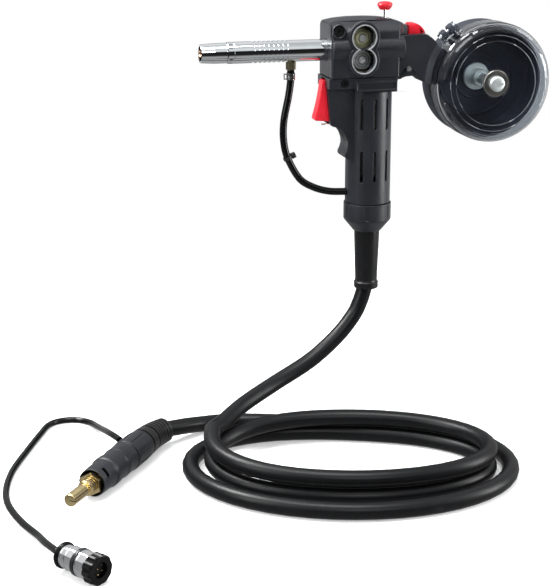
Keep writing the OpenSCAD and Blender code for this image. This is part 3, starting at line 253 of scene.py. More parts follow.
# --- Power cable
# Rubber-sheathed coaxial power and gas cable, 15.5 mm thick and 2.43 m long. It hangs
# out of the boot, lies in nearly three loops on the floor and runs into its plug.
CABLE_R = 0.00775
LOW_Z = FLOOR_Z + CABLE_R + 0.00005
COIL_TURNS = 2.75
POINTS_A_TURN = 48
COIL_AT = (-0.0604, -0.1496)
COIL_LONG, COIL_WIDE = 0.127, 0.077    # half the oval's length and width
OUTER_LONG, OUTER_WIDE = 0.020, 0.031  # what the last loop adds to them
YAW_COS, YAW_SIN = 0.968, 0.25         # the oval lies 14.5 degrees off the barrel
LAP_RISE = 0.0166                      # height of one cable lying on another


def curve_through(stops, steps):
    """Smooth line through the stops, in equal shares of each stretch."""
    line = []
    last = len(stops) - 1
    for i in range(last):
        a, b = Vector(stops[max(i - 1, 0)]), Vector(stops[i])
        c, d = Vector(stops[i + 1]), Vector(stops[min(i + 2, last)])
        for k in range(steps):
            t = k / steps
            line.append(0.5 * (2 * b + (c - a) * t + (2 * a - 5 * b + 4 * c - d) * t * t
                               + (3 * b - a - 3 * c + d) * t ** 3))
    return line + [Vector(stops[last])]


def ease(t):
    t = min(max(t, 0.0), 1.0)
    return t * t * (3 - 2 * t)


def coil_point(turn):
    """The first loop lands on the second and sinks to the floor; the last swings out."""
    landed, sinks_from, sinks_over = 0.2, 0.8, 0.35
    swings_from, swings_over = 1.7, 0.3
    grow = ease((turn - swings_from) / swings_over)
    if turn < landed:
        rise = 1 + 0.5 * (1 - turn / landed) ** 2
    else:
        rise = 1 - ease((turn - sinks_from) / sinks_over)
    angle = math.pi * (1 + 2 * turn)
    along = (COIL_LONG + OUTER_LONG * grow) * math.cos(angle)
    over = (COIL_WIDE + OUTER_WIDE * grow) * math.sin(angle)
    return Vector((COIL_AT[0] + along * YAW_COS + over * YAW_SIN,
                   COIL_AT[1] - along * YAW_SIN + over * YAW_COS, LOW_Z + LAP_RISE * rise))


def coil_heading(turn):
    step = 0.004
    return (coil_point(turn + step) - coil_point(turn - step)).normalized()


def tube_along(name, line, radius, sides=28):
    """Round sheath along a line, with its length and its turn in the map, both in metres."""
    shape = bmesh.new()
    chart = shape.loops.layers.uv.new("sheath")
    rings, runs, run, side = [], [], 0.0, None
    for i, p in enumerate(line):
        ahead = (line[min(i + 1, len(line) - 1)] - line[max(i - 1, 0)]).normalized()
        if side is None:
            side = ahead.cross(Vector((0, 0, 1)) if abs(ahead.z) < 0.9 else Vector((0, 1, 0)))
        side = (side - ahead * side.dot(ahead)).normalized()
        up = ahead.cross(side)
        if i:
            run += (p - line[i - 1]).length
        runs.append(run)
        turns = [2 * math.pi * k / sides for k in range(sides)]
        rings.append([shape.verts.new(p + radius * (math.cos(t) * side + math.sin(t) * up))
                      for t in turns])
    for i in range(len(line) - 1):
        for k in range(sides):
            n = (k + 1) % sides
            face = shape.faces.new((rings[i][k], rings[i][n], rings[i + 1][n], rings[i + 1][k]))
            face.smooth = True
            girth = 2 * math.pi * radius / sides
            spots = [(runs[i], k * girth), (runs[i], (k + 1) * girth),
                     (runs[i + 1], (k + 1) * girth), (runs[i + 1], k * girth)]
            for loop, spot in zip(face.loops, spots):
                loop[chart].uv = spot
    shape.faces.new(list(reversed(rings[0])))
    shape.faces.new(rings[-1])
    bmesh.ops.recalc_face_normals(shape, faces=shape.faces)
    mesh = bpy.data.meshes.new(name)
    shape.to_mesh(mesh)
    shape.free()
    piece = bpy.data.objects.new(name, mesh)
    scene.collection.objects.link(piece)
    return piece


PLUG_AT = Vector((-0.237, -0.0657, -0.263))
PLUG_TURN = math.radians(-125.4)
plug_way = Vector((math.cos(PLUG_TURN), math.sin(PLUG_TURN), 0))
BOOT_BEND = math.radians(18.6)
BOOT_LENGTH = 0.030
BOOT_SEAT = 0.006
bend_radius = BOOT_LENGTH / BOOT_BEND
bend_start = PLUG_AT - BOOT_SEAT * plug_way
bend_centre = bend_start + bend_radius * Vector((-math.sin(PLUG_TURN), math.cos(PLUG_TURN), 0))


def boot_point(w):
    """Middle line of the plug's bent boot, from the plug (0) to its mouth (1)."""
    angle = PLUG_TURN - math.pi / 2 - BOOT_BEND * w
    return bend_centre + bend_radius * Vector((math.cos(angle), math.sin(angle), 0))


CABLE_TOP_Z = -0.119
coil_start = coil_point(0) - 2 * CABLE_R * coil_heading(0)
coil_end = coil_point(COIL_TURNS) + 2 * CABLE_R * coil_heading(COIL_TURNS)
drop_stops = [
    (0, 0, -0.108), (0, 0, -0.128), (-0.0004, -0.0001, -0.1375), (-0.0019, -0.0005, -0.147),
    (-0.0062, -0.0016, -0.160), (-0.0139, -0.0035, -0.174), (-0.032, -0.008, -0.193),
    (-0.062, -0.017, -0.213), (-0.104, -0.033, -0.229), (-0.140, -0.058, -0.238),
    (-0.166, -0.086, -0.243), coil_start,
]
tail_stops = [
    coil_end, (-0.092, -0.030, LOW_Z), (-0.120, -0.020, LOW_Z), (-0.150, -0.014, LOW_Z),
    (-0.172, -0.018, -0.269), (-0.190, -0.027, -0.266), boot_point(1),
]
cable_line = curve_through(drop_stops, 5)[1:]
cable_line = [p for p in cable_line if p.z < CABLE_TOP_Z]
cable_line += [coil_point(i / POINTS_A_TURN) for i in range(int(COIL_TURNS * POINTS_A_TURN) + 1)]
cable_line += curve_through(tail_stops, 5)
cable_line += [boot_point(w) for w in (0.75, 0.5, 0.25)]
power_cable = tube_along("power_cable", cable_line, CABLE_R)


def new_group(name, numbers, outputs):
    """Shader group with a vector and numbers going in, and values coming out."""
    group = bpy.data.node_groups.new(name, "ShaderNodeTree")
    group.interface.new_socket("Vector", in_out="INPUT", socket_type="NodeSocketVector")
    for label, value in numbers:
        made = group.interface.new_socket(label, in_out="INPUT", socket_type="NodeSocketFloat")
        made.default_value = value
    for label in outputs:
        group.interface.new_socket(label, in_out="OUTPUT", socket_type="NodeSocketFloat")
    given = new_node(group, "NodeGroupInput", (-900, 0))
    result = new_node(group, "NodeGroupOutput", (700, 0))
    return group, given, result


# Grain: fine pits of a moulded or sheathed skin, slow blotches, and thin scuffs.
skin, skin_in, skin_out = new_group(
    "skin_grain", [("Grain Scale", 1400.0), ("Blotch Scale", 18.0), ("Scuff Scale", 60.0)],
    ["Height", "Blotch", "Scuff"])
pits = new_node(skin, "ShaderNodeTexNoise", (-400, 300), Detail=3.0, Roughness=0.6)
cells = new_node(skin, "ShaderNodeTexVoronoi", (-400, 50), feature="SMOOTH_F1")
blots = new_node(skin, "ShaderNodeTexNoise", (-400, -200), Detail=5.0, Roughness=0.55)
lines = new_node(skin, "ShaderNodeTexNoise", (-400, -450), Detail=8.0, Roughness=0.7,
                 Distortion=1.4)
sum_up = new_node(skin, "ShaderNodeMath", (0, 200), operation="ADD")
narrow = new_node(skin, "ShaderNodeMapRange", (0, -450), interpolation_type="SMOOTHSTEP",
                  From_Min=0.60, From_Max=0.74)
spread = new_node(skin, "ShaderNodeMapRange", (0, -200), From_Min=0.3, From_Max=0.7)
for texture, label in ((pits, "Grain Scale"), (cells, "Grain Scale"),
                       (blots, "Blotch Scale"), (lines, "Scuff Scale")):
    join(skin, skin_in, "Vector", texture, "Vector")
    join(skin, skin_in, label, texture, "Scale")
join(skin, pits, 0, sum_up, 0)
join(skin, cells, "Distance", sum_up, 1)
join(skin, blots, 0, spread, "Value")
join(skin, lines, 0, narrow, "Value")
join(skin, sum_up, 0, skin_out, "Height")
join(skin, spread, 0, skin_out, "Blotch")
join(skin, narrow, 0, skin_out, "Scuff")


def grained(name, colour, worn, roughness, bump, grain=1400.0, blotch=18.0, scuff=60.0,
            rough_span=0.12, glare=0.5, uv=None):
    """Moulded skin: base colour with blotches and pale scuffs, gloss that varies, fine pits."""
    made, tree, shader = finish_of(name, colour, roughness)
    shader.inputs["Specular IOR Level"].default_value = glare
    place = new_node(tree, "ShaderNodeTexCoord", (-1100, 0))
    skin_node = new_node(tree, "ShaderNodeGroup", (-800, 0), node_tree=skin,
                         Grain_Scale=grain, Blotch_Scale=blotch, Scuff_Scale=scuff)
    join(tree, place, "UV" if uv else "Object", skin_node, "Vector")
    tone = new_node(tree, "ShaderNodeMix", (-500, 300), data_type="RGBA")
    tone.inputs[6].default_value = (*[c * 0.78 for c in colour], 1)
    tone.inputs[7].default_value = (*[min(1, c * 1.22) for c in colour], 1)
    wear = new_node(tree, "ShaderNodeMix", (-300, 300), data_type="RGBA")
    wear.inputs[7].default_value = (*worn, 1)
    join(tree, skin_node, "Blotch", tone, 0)
    join(tree, tone, 2, wear, 6)
    join(tree, skin_node, "Scuff", wear, 0)
    join(tree, wear, 2, shader, "Base Color")
    gloss = new_node(tree, "ShaderNodeMapRange", (-500, 0),
                     To_Min=max(0.03, roughness - rough_span / 2),
                     To_Max=roughness + rough_span / 2)
    join(tree, skin_node, "Blotch", gloss, "Value")
    join(tree, gloss, 0, shader, "Roughness")
    pitted = new_node(tree, "ShaderNodeBump", (-300, -200), Strength=bump, Distance=0.0002)
    join(tree, skin_node, "Height", pitted, "Height")
    join(tree, pitted, 0, shader, "Normal")
    return made


sheath_rubber = grained("cable_rubber", (0.0028, 0.0031, 0.0038), (0.012, 0.013, 0.015), 0.37, 0.12,
                        grain=900.0, blotch=9.0, scuff=30.0, glare=0.24, uv="sheath")
power_cable.data.materials.append(sheath_rubber)
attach(power_cable, "gun")
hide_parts("cable_drop", "cable_coil", "cable_tail")

# --- Control lead
# Thin two-wire lead in a black sheath. It leaves the branch of the plug, bows round and
# ends in the round connector for the feeder's socket.
LEAD_R = 0.003
CONN_AT = Vector((-0.347, -0.281, -0.2647))
CONN_TURN = math.radians(-56.2)
conn_way = Vector((math.cos(CONN_TURN), math.sin(CONN_TURN), 0))
BRANCH_ALONG = 0.029
BRANCH_SIDE = Vector((-0.0083, 0.0142, 0.0078))
LEAD_SEAT = 0.003
lead_start = PLUG_AT + BRANCH_ALONG * plug_way + BRANCH_SIDE
lead_stops = [lead_start] + [Vector(p) / 1000 for p in [
    (-263.9, -68, -255.4), (-265.8, -60.5, -255.9), (-267.4, -50, -257.6), (-268.7, -33.6, -261.2),
    (-270.1, -14, -266), (-271.4, 3, -270), (-272.7, 18, -273.2), (-276.1, 30, -274.8),
    (-284.8, 38.8, -275), (-296.7, 42, -275), (-308.6, 38.8, -275), (-317.4, 30, -275),
    (-326, 11, -275), (-340, -22, -275), (-362, -78, -275), (-372, -122, -275), (-373, -156, -275),
    (-366, -193, -275), (-356, -228, -273), (-352, -254, -269)]] + [CONN_AT + LEAD_SEAT * conn_way]
lead_line = curve_through(lead_stops, 6)
control_lead = tube_along("control_lead_sheath", lead_line, LEAD_R, 20)
lead_sheath = grained("lead_sheath", (0.0022, 0.0023, 0.0026), (0.010, 0.010, 0.011), 0.16, 0.06,
                      grain=1200.0, blotch=20.0, scuff=50.0, glare=0.3, uv="sheath")
control_lead.data.materials.append(lead_sheath)
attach(control_lead, "gun")
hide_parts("control_lead")

# --- Gas hose
# Smooth black hose, 7 mm thick. It is pushed on the barb under the barrel, sags forward
# and goes into the front of the grip, where it joins the cable.
HOSE_R = 0.0035
hose_stops = [Vector(p) / 1000 for p in [
    (-78, 0, 72), (-78, 0, 62), (-80, 0, 47), (-84.5, 0, 24), (-84.8, 0, 5), (-80.7, 0, -12.5),
    (-69, 0, -33), (-55, 0, -42.3), (-40, 0, -47), (-26, 0, -48.2), (-16, 0, -48.2)]]
hose_line = curve_through(hose_stops, 8)
gas_hose = tube_along("gas_hose_sheath", hose_line, HOSE_R, 24)
hose_rubber = grained("hose_rubber", (0.0024, 0.0025, 0.0030), (0.011, 0.011, 0.013), 0.18, 0.06,
                      grain=1100.0, blotch=25.0, scuff=55.0, glare=0.3, uv="sheath")
gas_hose.data.materials.append(hose_rubber)
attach(gas_hose, "gun")
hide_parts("gas_hose")

# --- Barrel
# Chromed steel tube with cooling grooves, screwed into the front of the housing. The nozzle
# is pushed over an insulated seat inside it, with the copper contact tip in the middle.
WIRE_Z = 0.090


def dress(finish, *names):
    """Gives the named solids one finish."""
    for name in names:
        for place in solids[name].material_slots:
            place.material = finish


# Lathe marks: rings round the local Z axis, broader streaks, and a cloudy film.
STREAK_PITCH = 0.12
lathe, lathe_in, lathe_out = new_group("turning_marks", [("Pitch", 3000.0)],
                                       ["Height", "Streak", "Film"])
flat_part = new_node(lathe, "ShaderNodeVectorMath", (-700, 200), operation="MULTIPLY")
flat_part.inputs[1].default_value = (1, 1, 0)
girth_part = new_node(lathe, "ShaderNodeVectorMath", (-550, 200), operation="LENGTH")
split = new_node(lathe, "ShaderNodeSeparateXYZ", (-700, -50))
paired = new_node(lathe, "ShaderNodeCombineXYZ", (-350, 100))
fine = new_node(lathe, "ShaderNodeTexNoise", (-100, 300), Detail=2.0, Roughness=0.7)
broad = new_node(lathe, "ShaderNodeTexNoise", (-100, 50), Detail=3.0, Roughness=0.6)
coarser = new_node(lathe, "ShaderNodeMath", (-350, -100), operation="MULTIPLY")
coarser.inputs[1].default_value = STREAK_PITCH
film = new_node(lathe, "ShaderNodeTexNoise", (-100, -200), Scale=70.0, Detail=4.0)
join(lathe, lathe_in, "Vector", flat_part, 0)
join(lathe, flat_part, 0, girth_part, 0)
join(lathe, lathe_in, "Vector", split, 0)
join(lathe, girth_part, "Value", paired, "X")
join(lathe, split, "Z", paired, "Y")
join(lathe, paired, 0, fine, "Vector")
join(lathe, paired, 0, broad, "Vector")
join(lathe, lathe_in, "Pitch", fine, "Scale")
join(lathe, lathe_in, "Pitch", coarser, 0)
join(lathe, coarser, 0, broad, "Scale")
join(lathe, lathe_in, "Vector", film, "Vector")
join(lathe, fine, 0, lathe_out, "Height")
join(lathe, broad, 0, lathe_out, "Streak")
join(lathe, film, 0, lathe_out, "Film")


def turned(name, colour, roughness, at=(0, 0, 0), turn=(0, 0, 0), dulled=0.88, bump=0.06,
           pitch=3000.0, span=0.10, toned_by="Film"):
    """Turned metal: marks round the axis through at, a duller film, gloss that varies."""
    made, tree, shader = finish_of(name, colour, roughness, 1.0)
    place = new_node(tree, "ShaderNodeTexCoord", (-1300, 0))
    seat = new_node(tree, "ShaderNodeMapping", (-1100, 0), vector_type="TEXTURE",
                    Location=at, Rotation=turn)
    marks = new_node(tree, "ShaderNodeGroup", (-850, 0), node_tree=lathe, Pitch=pitch)
    tone = new_node(tree, "ShaderNodeMix", (-500, 300), data_type="RGBA")
    tone.inputs[6].default_value = (*[c * dulled for c in colour], 1)
    tone.inputs[7].default_value = (*colour, 1)
    clear_film = new_node(tree, "ShaderNodeMapRange", (-650, 300), From_Min=0.35, From_Max=0.6)
    gloss = new_node(tree, "ShaderNodeMapRange", (-500, 0), From_Min=0.3, From_Max=0.7,
                     To_Min=max(0.02, roughness - span / 2), To_Max=roughness + span / 2)
    ridges = new_node(tree, "ShaderNodeBump", (-300, -200), Strength=bump, Distance=0.00005)
    join(tree, place, "Object", seat, "Vector")
    join(tree, seat, 0, marks, "Vector")
    join(tree, marks, toned_by, clear_film, "Value")
    join(tree, clear_film, 0, tone, 0)
    join(tree, tone, 2, shader, "Base Color")
    join(tree, marks, "Streak", gloss, "Value")
    join(tree, gloss, 0, shader, "Roughness")
    join(tree, marks, "Height", ridges, "Height")
    join(tree, ridges, 0, shader, "Normal")
    return made


along_wire = {"at": (0, 0, WIRE_Z), "turn": (0, math.pi / 2, 0)}
plated = turned("plated_barrel", (0.80, 0.83, 0.85), 0.035, **along_wire, dulled=0.95, bump=0.02,
                span=0.03)
dress(plated, "nozzle", "nozzle_ring", "barrel_tube")
tip_copper = turned("tip_copper", (0.72, 0.40, 0.26), 0.30, **along_wire, dulled=0.7)
dress(tip_copper, "contact_tip")
core_brass = turned("core_brass", (0.74, 0.60, 0.33), 0.28, **along_wire, dulled=0.8)
dress(core_brass, "gas_diffuser", "conductor_tube", "wire_guides")
sleeve_resin = grained("sleeve_resin", (0.26, 0.07, 0.035), (0.36, 0.12, 0.06), 0.45, 0.3,
                       grain=900.0, blotch=60.0)
dress(sleeve_resin, "barrel_sleeve")

# --- Gas fitting, clamp and tie
# Brass hexagon screwed up into the barrel, the hose on its barb under a crimped steel
# clamp, and a nylon strap that once held the hose to the cable.
FITTING_AT = (-0.0778, 0, 0.07)
CLAMP_AT = (-0.078, 0, 0.066)
fitting_brass = turned("fitting_brass", (0.62, 0.57, 0.36), 0.33, FITTING_AT, dulled=0.72, bump=0.1)
dress(fitting_brass, "gas_fitting")
clamp_zinc = turned("clamp_zinc", (0.70, 0.72, 0.71), 0.22, CLAMP_AT, dulled=0.85, bump=0.08)
dress(clamp_zinc, "hose_clamp")
strap_nylon = grained("strap_nylon", (0.010, 0.010, 0.011), (0.04, 0.04, 0.04), 0.38, 0.2,
                      grain=1800.0)
dress(strap_nylon, "hose_tie")

# --- Housing shells
# Two glass-filled nylon shells, moulded with softly rounded edges and a fine satin grain,
# screwed together round the wire drive. The near one carries the rib and the window boss.


def eased_copy(name, body, width, finish):
    """The solid's own shape with its sharp edges rounded as they leave the mould."""
    weld, flat, sharp = 2e-6, math.radians(0.5), math.radians(32)
    shape = bmesh.new()
    shape.from_mesh(solids[name].data)
    bmesh.ops.remove_doubles(shape, verts=shape.verts, dist=weld)
    bmesh.ops.dissolve_limit(shape, angle_limit=flat, verts=shape.verts, edges=shape.edges)
    bmesh.ops.triangulate(shape, faces=[face for face in shape.faces if len(face.verts) > 4])
    mesh = bpy.data.meshes.new(name + "_moulded")
    shape.to_mesh(mesh)
    shape.free()
    for face in mesh.polygons:
        face.use_smooth = True
        face.material_index = 0
    mesh.materials.append(finish)
    piece = bpy.data.objects.new(name + "_moulded", mesh)
    scene.collection.objects.link(piece)
    round_off = piece.modifiers.new("rounded edges", "BEVEL")
    round_off.width = width
    round_off.segments = 3
    round_off.limit_method = "ANGLE"
    round_off.angle_limit = sharp
    round_off.use_clamp_overlap = False
    evened = piece.modifiers.new("even shading", "WEIGHTED_NORMAL")
    evened.weight = 80
    evened.keep_sharp = False
    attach(piece, body)
    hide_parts(name)


shell_nylon = grained("shell_nylon", (0.0095, 0.0108, 0.0155), (0.026, 0.029, 0.036), 0.38, 0.35,
                      grain=1500.0, blotch=26.0, scuff=70.0, rough_span=0.10)
eased_copy("drive_housing", "gun", 0.0007, shell_nylon)
eased_copy("side_cover", "gun", 0.0009, shell_nylon)

# --- Window
# Figure-eight pane of clear polycarbonate, to watch the rolls through. It is let into
# the boss of the side cover, and a plated rim holds it.
WINDOW_AT = (-0.0136, 0, 0.0924)
FACING = (-math.pi / 2, 0, 0)


def see_through(name, tint, roughness):
    """Clear plastic that lets the lamps shine through it, with a light haze of wipe marks."""
    made, tree, shader = finish_of(name, tint, roughness)
    shader.inputs["Transmission Weight"].default_value = 1.0
    shader.inputs["IOR"].default_value = 1.49
    place = new_node(tree, "ShaderNodeTexCoord", (-1100, 0))
    marks = new_node(tree, "ShaderNodeGroup", (-850, 0), node_tree=skin,
                     Blotch_Scale=40.0, Scuff_Scale=90.0)
    gloss = new_node(tree, "ShaderNodeMapRange", (-500, 0),
                     To_Min=roughness, To_Max=roughness + 0.05)
    out = tree.nodes["Material Output"]
    bare = new_node(tree, "ShaderNodeBsdfTransparent", (300, -200), Color=(0.95, 0.96, 0.97, 1))
    ray = new_node(tree, "ShaderNodeLightPath", (0, 300))
    pick = new_node(tree, "ShaderNodeMixShader", (500, 0))
    join(tree, place, "Object", marks, "Vector")
    join(tree, marks, "Scuff", gloss, "Value")
    join(tree, gloss, 0, shader, "Roughness")
    join(tree, ray, "Is Shadow Ray", pick, 0)
    join(tree, shader, 0, pick, 1)
    join(tree, bare, 0, pick, 2)
    join(tree, pick, 0, out, "Surface")
    return made


pane_clear = see_through("pane_clear", (0.99, 1.0, 1.0), 0.005)
dress(pane_clear, "window")
rim_plate = turned("rim_plate", (0.90, 0.92, 0.93), 0.50, WINDOW_AT, FACING, dulled=0.9)
dress(rim_plate, "window_rim")

# --- Screws
# Socket-head screws that draw the shells together: blacked steel in the housing and the
# grip, and blacked steel with a pale grey painted highlight in the neck, which starts a little
# behind the rolls.
SCREW_AT = (-0.0376, 0, 0.1096)
NECK_FROM = 0.030
screw_steel = turned("screw_steel", (0.10, 0.10, 0.105), 0.30, SCREW_AT, FACING, dulled=0.7)
tree = screw_steel.node_tree
place = new_node(tree, "ShaderNodeTexCoord", (-900, 600))
across = new_node(tree, "ShaderNodeSeparateXYZ", (-700, 600))
in_neck = new_node(tree, "ShaderNodeMath", (-500, 600), operation="GREATER_THAN")
in_neck.inputs[1].default_value = NECK_FROM
# Painted highlight: screws past NECK_FROM along X are mixed from blacked steel to pale grey.
neck_painted_highlight = new_node(tree, "ShaderNodeMix", (-250, 500), data_type="RGBA")
neck_painted_highlight.inputs[7].default_value = (0.72, 0.74, 0.74, 1)
shader = tree.nodes["Principled BSDF"]
blacked = shader.inputs["Base Color"].links[0].from_socket
join(tree, place, "Object", across, 0)
join(tree, across, "X", in_neck, 0)
join(tree, in_neck, 0, neck_painted_highlight, 0)
tree.links.new(blacked, neck_painted_highlight.inputs[6])
join(tree, neck_painted_highlight, 2, shader, "Base Color")
dress(screw_steel, "case_screws")

# --- Wire drive
# Two grooved rolls nip the wire in front of the window. The lower one is driven through
# bevel gears, the upper one turns on an arm that the spring presses down.
DRIVE_AT = (-0.009, 0, 0.0797)
PRESS_AT = (-0.009, 0, 0.1003)
roll_steel = turned("roll_steel", (0.46, 0.48, 0.47), 0.46, DRIVE_AT, FACING, dulled=0.18,
                    bump=0.25, pitch=6000.0, toned_by="Streak")
dress(roll_steel, "drive_roll")
roll_bronze = turned("roll_bronze", (0.66, 0.64, 0.42), 0.46, PRESS_AT, FACING, dulled=0.22,
                     bump=0.25, pitch=6000.0, toned_by="Streak")
dress(roll_bronze, "pressure_roll")
bright_steel = turned("bright_steel", (0.86, 0.88, 0.88), 0.34, DRIVE_AT, FACING, dulled=0.85)
dress(bright_steel, "drive_roll_screw", "drive_shaft", "pressure_arm", "pivot_pins")
gear_bronze = turned("gear_bronze", (0.56, 0.49, 0.33), 0.42, DRIVE_AT, FACING, dulled=0.7,
                     bump=0.2)
dress(gear_bronze, "bevel_gear", "bevel_pinion", "shaft_bushes")

# --- Tension rod
# Plated steel rod that slides in a bush on top of the housing. Its red knob is pulled up
# by hand to free the wire, which presses together the wound steel spring round the rod. Here the
# spring rides with the rod and keeps its length.
ROD_AT = (0.0145, 0, 0.12)
rod_plate = turned("rod_plate", (0.80, 0.82, 0.82), 0.12, ROD_AT, dulled=0.88)
dress(rod_plate, "tension_rod", "top_bush")
spring_mesh = solids["tension_spring"].data.copy()
spring_mesh.materials.clear()
spring_mesh.materials.append(rod_plate)
wound_spring = bpy.data.objects.new("tension_spring_wound", spring_mesh)
scene.collection.objects.link(wound_spring)
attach(wound_spring, "tension_rod")
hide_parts("tension_spring")
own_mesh(wound_spring)
red_gloss = grained("red_gloss", (0.62, 0.007, 0.021), (0.74, 0.03, 0.045), 0.30, 0.03,
                    grain=1600.0, blotch=30.0, scuff=80.0, rough_span=0.06)
dress(red_gloss, "tension_knob")

# --- Grip
# Two nylon half shells, moulded with slots that let the motor's heat out. They are
# screwed together round the motor and its gear head, which are closed in zinc-plated cans.
eased_copy("handle_near", "gun", 0.0006, shell_nylon)
eased_copy("handle_far", "gun", 0.0006, shell_nylon)
can_zinc = turned("can_zinc", (0.55, 0.56, 0.56), 0.40, dulled=0.8, bump=0.15)
dress(can_zinc, "motor", "gear_head")

# --- Trigger
# Red moulded lever that swings on a steel pin and presses a small black switch. A wire
# spring, bent into a loop under its foot, brings it back.
LOOP_AT = (-0.0464, 0, 0.0186)
eased_copy("trigger", "trigger", 0.0008, red_gloss)
spring_wire = turned("spring_wire", (0.74, 0.75, 0.75), 0.20, LOOP_AT, dulled=0.8)
dress(spring_wire, "trigger_spring")
switch_resin = grained("switch_resin", (0.008, 0.008, 0.009), (0.03, 0.03, 0.03), 0.5, 0.2)
dress(switch_resin, "micro_switches")

# --- Collar and boot
# Moulded nylon collar, screwed on the end of the grip. It clamps the long rubber boot
# that keeps the cable from kinking.
eased_copy("collar", "gun", 0.0004, shell_nylon)
boot_rubber = grained("boot_rubber", (0.0035, 0.0037, 0.0045), (0.014, 0.014, 0.016), 0.36, 0.2,
                      grain=1100.0, blotch=30.0, scuff=60.0, glare=0.32)
dress(boot_rubber, "cable_boot")

# --- Neck
# Hollow moulded nylon neck, screwed to the drive housing. It carries the spool tray, the
# red inching button on its pin, and a ribbed grey pad.
eased_copy("spool_arm", "gun", 0.0007, shell_nylon)
eased_copy("inch_button", "inch_button", 0.0009, red_gloss)
pad_grey = grained("pad_grey", (0.045, 0.048, 0.054), (0.08, 0.08, 0.085), 0.5, 0.4, grain=1300.0)
dress(pad_grey, "ribbed_pad")

# --- Spool base
# Deep round tray that takes the spool of wire, moulded of nylon in one piece with the
# hinge knuckles on its edge.
tray_nylon = grained("tray_nylon", (0.027, 0.031, 0.041), (0.028, 0.031, 0.038), 0.46, 0.35,
                     grain=1300.0, blotch=22.0, scuff=60.0, glare=0.16)
eased_copy("spool_base", "gun", 0.0005, tray_nylon)

# --- Clear cover
# Thick clear polycarbonate dome, moulded in one piece with two fine rings on its face,
# which swings open on the hinge pin.
cover_clear = see_through("cover_clear", (0.56, 0.59, 0.62), 0.01)
dress(cover_clear, "spool_cover")

# --- Spindle and hub nut
# Turned steel spindle with a flange, fixed in the middle of the tray and zinc-plated. The
# washer and the domed nut on its end stand outside the cover.
SPINDLE_AT = (0.1195, 0, 0.0555)
spindle_zinc = turned("spindle_zinc", (0.82, 0.88, 0.865), 0.42, SPINDLE_AT, FACING, dulled=0.78,
                      bump=0.3)
dress(spindle_zinc, "spindle")
washer_steel = turned("washer_steel", (0.34, 0.33, 0.31), 0.34, SPINDLE_AT, FACING, dulled=0.7,
                      bump=0.3)
dress(washer_steel, "hub_washer")
nut_zinc = turned("nut_zinc", (0.82, 0.88, 0.87), 0.50, SPINDLE_AT, FACING, dulled=0.75,
                  bump=0.3)
dress(nut_zinc, "hub_nut")

# --- Plug
# Rubber bend relief, ribbed hand grip and shroud of hard nylon, and the turned brass pin
# with its seal rings, which carries current, gas and wire into the feeder.
plug_axis = {"at": tuple(PLUG_AT), "turn": (0, math.pi / 2, PLUG_TURN)}
relief_rubber = grained("relief_rubber", (0.0035, 0.0035, 0.004), (0.015, 0.015, 0.016), 0.36, 0.25,
                        grain=1200.0)
dress(relief_rubber, "plug_boot", "o_rings")
plug_nylon = grained("plug_nylon", (0.0062, 0.0072, 0.0108), (0.018, 0.020, 0.026), 0.40, 0.25,
                     grain=1300.0, blotch=40.0)
eased_copy("plug_body", "gun", 0.0004, plug_nylon)
eased_copy("plug_sleeve", "gun", 0.0004, plug_nylon)
pin_brass = turned("pin_brass", (0.80, 0.64, 0.34), 0.22, **plug_axis, dulled=0.82, bump=0.12)
dress(pin_brass, "brass_pin")

# --- Connector
# Round control connector: a plated body with wrench flats, a rubber grip ring and flange,
# a scalloped coupling ring, and seven plated contacts pressed into a black insert.
CONTACTS_ROUND = 6
CONTACT_RING = 0.005
CONTACT_R = 0.0007
CONTACT_LENGTH = 0.0024
INSERT_AHEAD = 0.0482
CONTACT_SIDES = 14
conn_axis = {"at": tuple(CONN_AT), "turn": (0, math.pi / 2, CONN_TURN)}
body_plate = turned("body_plate", (0.80, 0.81, 0.83), 0.05, **conn_axis, dulled=0.85, bump=0.03,
                    span=0.04)
dress(body_plate, "connector_body")
ring_black = grained("ring_black", (0.0018, 0.0018, 0.0021), (0.008, 0.008, 0.009), 0.26, 0.1,
                     grain=1400.0, glare=0.22)
dress(ring_black, "coupling_ring", "backshell", "connector_insert")
pin_plating = turned("pin_plating", (0.80, 0.62, 0.30), 0.2, **conn_axis, dulled=0.8)

pin_ring = bpy.data.node_groups.new("contact_pins", "GeometryNodeTree")
for label, kind, value in (("Count", "NodeSocketInt", CONTACTS_ROUND),
                           ("Ring Radius", "NodeSocketFloat", CONTACT_RING),
                           ("Pin Radius", "NodeSocketFloat", CONTACT_R),
                           ("Pin Length", "NodeSocketFloat", CONTACT_LENGTH)):
    made = pin_ring.interface.new_socket(label, in_out="INPUT", socket_type=kind)
    made.default_value = value
pin_ring.interface.new_socket("Finish", in_out="INPUT", socket_type="NodeSocketMaterial")
pin_ring.interface.new_socket("Geometry", in_out="OUTPUT", socket_type="NodeSocketGeometry")
given = new_node(pin_ring, "NodeGroupInput", (-900, 0))
circle = new_node(pin_ring, "GeometryNodeMeshCircle", (-600, 200))
centre = new_node(pin_ring, "GeometryNodePoints", (-600, 0))
seats = new_node(pin_ring, "GeometryNodeJoinGeometry", (-300, 150))
shank = new_node(pin_ring, "GeometryNodeMeshCylinder", (-600, -200), Vertices=CONTACT_SIDES)
tip = new_node(pin_ring, "GeometryNodeMeshUVSphere", (-600, -450), Segments=CONTACT_SIDES, Rings=8)
half = new_node(pin_ring, "ShaderNodeMath", (-600, -650), operation="MULTIPLY")
half.inputs[1].default_value = 0.5
offset = new_node(pin_ring, "ShaderNodeCombineXYZ", (-450, -650))
lifted = new_node(pin_ring, "GeometryNodeTransform", (-300, -450))
one_pin = new_node(pin_ring, "GeometryNodeJoinGeometry", (-150, -250))
placed = new_node(pin_ring, "GeometryNodeInstanceOnPoints", (0, 0))
solid = new_node(pin_ring, "GeometryNodeRealizeInstances", (200, 0))
coated = new_node(pin_ring, "GeometryNodeSetMaterial", (400, 0))
result = new_node(pin_ring, "NodeGroupOutput", (600, 0))
join(pin_ring, given, "Count", circle, "Vertices")
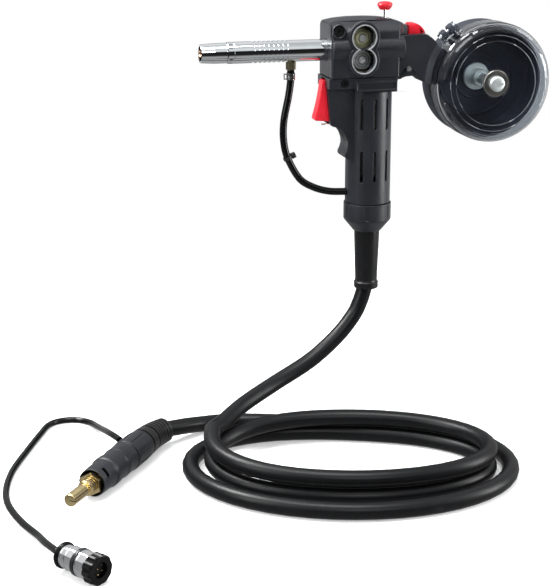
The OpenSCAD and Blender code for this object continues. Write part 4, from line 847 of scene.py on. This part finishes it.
join(pin_ring, given, "Ring Radius", circle, "Radius")
join(pin_ring, circle, 0, seats, 0)
join(pin_ring, centre, 0, seats, 0)
join(pin_ring, given, "Pin Radius", shank, "Radius")
join(pin_ring, given, "Pin Length", shank, "Depth")
join(pin_ring, given, "Pin Radius", tip, "Radius")
join(pin_ring, given, "Pin Length", half, 0)
join(pin_ring, half, 0, offset, "Z")
join(pin_ring, offset, 0, lifted, "Translation")
join(pin_ring, tip, 0, lifted, 0)
join(pin_ring, shank, 0, one_pin, 0)
join(pin_ring, lifted, 0, one_pin, 0)
join(pin_ring, seats, 0, placed, "Points")
join(pin_ring, one_pin, 0, placed, "Instance")
join(pin_ring, placed, 0, solid, 0)
join(pin_ring, solid, 0, coated, 0)
join(pin_ring, given, "Finish", coated, "Material")
join(pin_ring, coated, 0, result, 0)


def made_by(tree, name, body, slot_name, place, **values):
    """Runs a node tree and keeps what it makes as one plain mesh, set in its place."""
    carrier = bpy.data.objects.new(name, bpy.data.meshes.new(name))
    scene.collection.objects.link(carrier)
    runner = carrier.modifiers.new(name, "NODES")
    runner.node_group = tree
    for item in tree.interface.items_tree:
        label = item.name.replace(" ", "_").lower()
        if item.item_type == "SOCKET" and item.in_out == "INPUT" and label in values:
            runner[item.identifier] = values[label]
    bpy.context.view_layer.update()
    grown = carrier.evaluated_get(bpy.context.evaluated_depsgraph_get())
    mesh = bpy.data.meshes.new_from_object(grown)
    carrier.modifiers.remove(runner)
    mesh.transform(place)
    mesh.name = name
    carrier.data = mesh
    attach(carrier, body)


conn_turned = Matrix.Rotation(CONN_TURN, 4, "Z") @ Matrix.Rotation(math.pi / 2, 4, "Y")
conn_frame = Matrix.Translation(CONN_AT) @ conn_turned
made_by(pin_ring, "contact_pins", "gun", "brass",
        conn_frame @ Matrix.Translation((0, 0, INSERT_AHEAD)), count=CONTACTS_ROUND,
        ring_radius=CONTACT_RING, pin_radius=CONTACT_R, pin_length=CONTACT_LENGTH,
        finish=pin_plating)
